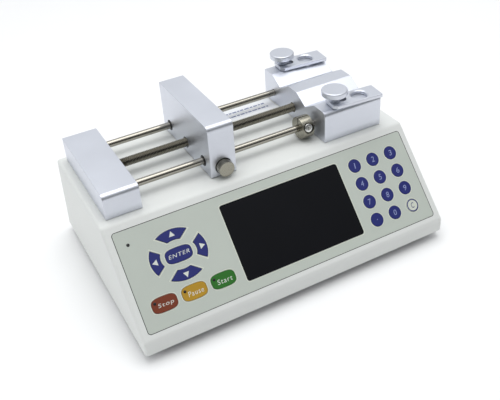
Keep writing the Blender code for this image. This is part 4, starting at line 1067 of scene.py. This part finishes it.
def add_light(name, place, size, power, reflected=True):
    light = bpy.data.lights.new(name, "AREA")
    light.shape = "RECTANGLE"
    light.size, light.size_y = size
    light.energy = power
    holder = bpy.data.objects.new(name, light)
    holder.location = place
    holder.rotation_euler = (Vector(LAMP_TARGET) - Vector(place)).to_track_quat("-Z", "Y").to_euler()
    holder.visible_glossy = reflected
    bpy.context.scene.collection.objects.link(holder)


def build_stage():
    shape = box((-FLOOR_HALF, -FLOOR_HALF, -FLOOR_DEPTH), (FLOOR_HALF, FLOOR_HALF, 0))
    floor = to_object("floor", shape, Matrix(), (0, 0, 0))
    floor.data.materials.append(FLOOR)
    add_light("overhead", (0.1, 0.12, 1.5), size=(1.4, 1.1), power=11.0)
    add_light("left", (-1.7, 0.1, 0.8), size=(0.9, 0.9), power=2.0, reflected=False)
    add_light("front", (-0.1, -1.8, 1.4), size=(1.6, 0.8), power=1.0, reflected=False)
    world = bpy.data.worlds.new("studio")
    bpy.context.scene.world = world
    world.use_nodes = True
    nodes = world.node_tree.nodes
    links = world.node_tree.links
    direction = nodes.new("ShaderNodeTexCoord")
    split = nodes.new("ShaderNodeSeparateXYZ")
    links.new(direction.outputs["Generated"], split.inputs["Vector"])
    ramp = nodes.new("ShaderNodeMapRange")
    ramp.interpolation_type = "SMOOTHSTEP"
    ramp.inputs["From Min"].default_value, ramp.inputs["From Max"].default_value = WORLD_HEIGHTS
    ramp.inputs["To Min"].default_value, ramp.inputs["To Max"].default_value = WORLD_STRENGTHS
    tilt = nodes.new("ShaderNodeMath")
    tilt.operation = "MULTIPLY_ADD"
    tilt.inputs[1].default_value = WORLD_REARWARD
    links.new(split.outputs["Y"], tilt.inputs[0])
    links.new(split.outputs["Z"], tilt.inputs[2])
    links.new(tilt.outputs[0], ramp.inputs["Value"])
    links.new(ramp.outputs["Result"], nodes["Background"].inputs["Strength"])
    nodes["Background"].inputs["Color"].default_value = WORLD_COLOUR
    bpy.context.scene.view_settings.view_transform = "Standard"


def build_camera():
    yaw, pitch, roll = (math.radians(angle) for angle in (CAMERA_YAW, CAMERA_PITCH, CAMERA_ROLL))
    back = Vector((math.sin(yaw) * math.cos(pitch), -math.cos(yaw) * math.cos(pitch), math.sin(pitch)))
    right = Vector((math.cos(yaw), math.sin(yaw), 0))
    up = back.cross(right)
    rolled_right = right * math.cos(roll) + up * math.sin(roll)
    rolled_up = up * math.cos(roll) - right * math.sin(roll)
    data = bpy.data.cameras.new("camera")
    data.lens = CAMERA_LENS
    data.shift_x, data.shift_y = CAMERA_SHIFT
    data.clip_start = 0.01
    camera = bpy.data.objects.new("camera", data)
    turn = Matrix((rolled_right, rolled_up, back)).transposed().to_4x4()
    camera.matrix_world = Matrix.Translation(Vector(CAMERA_PLACE) * MM) @ turn
    bpy.context.scene.collection.objects.link(camera)
    bpy.context.scene.camera = camera


build_camera()
build_stage()
build_case()
build_feet()
build_number_keys()
build_arrow_keys()
build_run_keys()
build_panel_marks()
build_end_block()
build_rods()
build_lead_screw()
build_pusher()
build_spring()
build_collar()
build_holder()
build_clamp("front")
build_clamp("rear")
build_deck_label()
build_rear_details()
dress_cad_nodes()
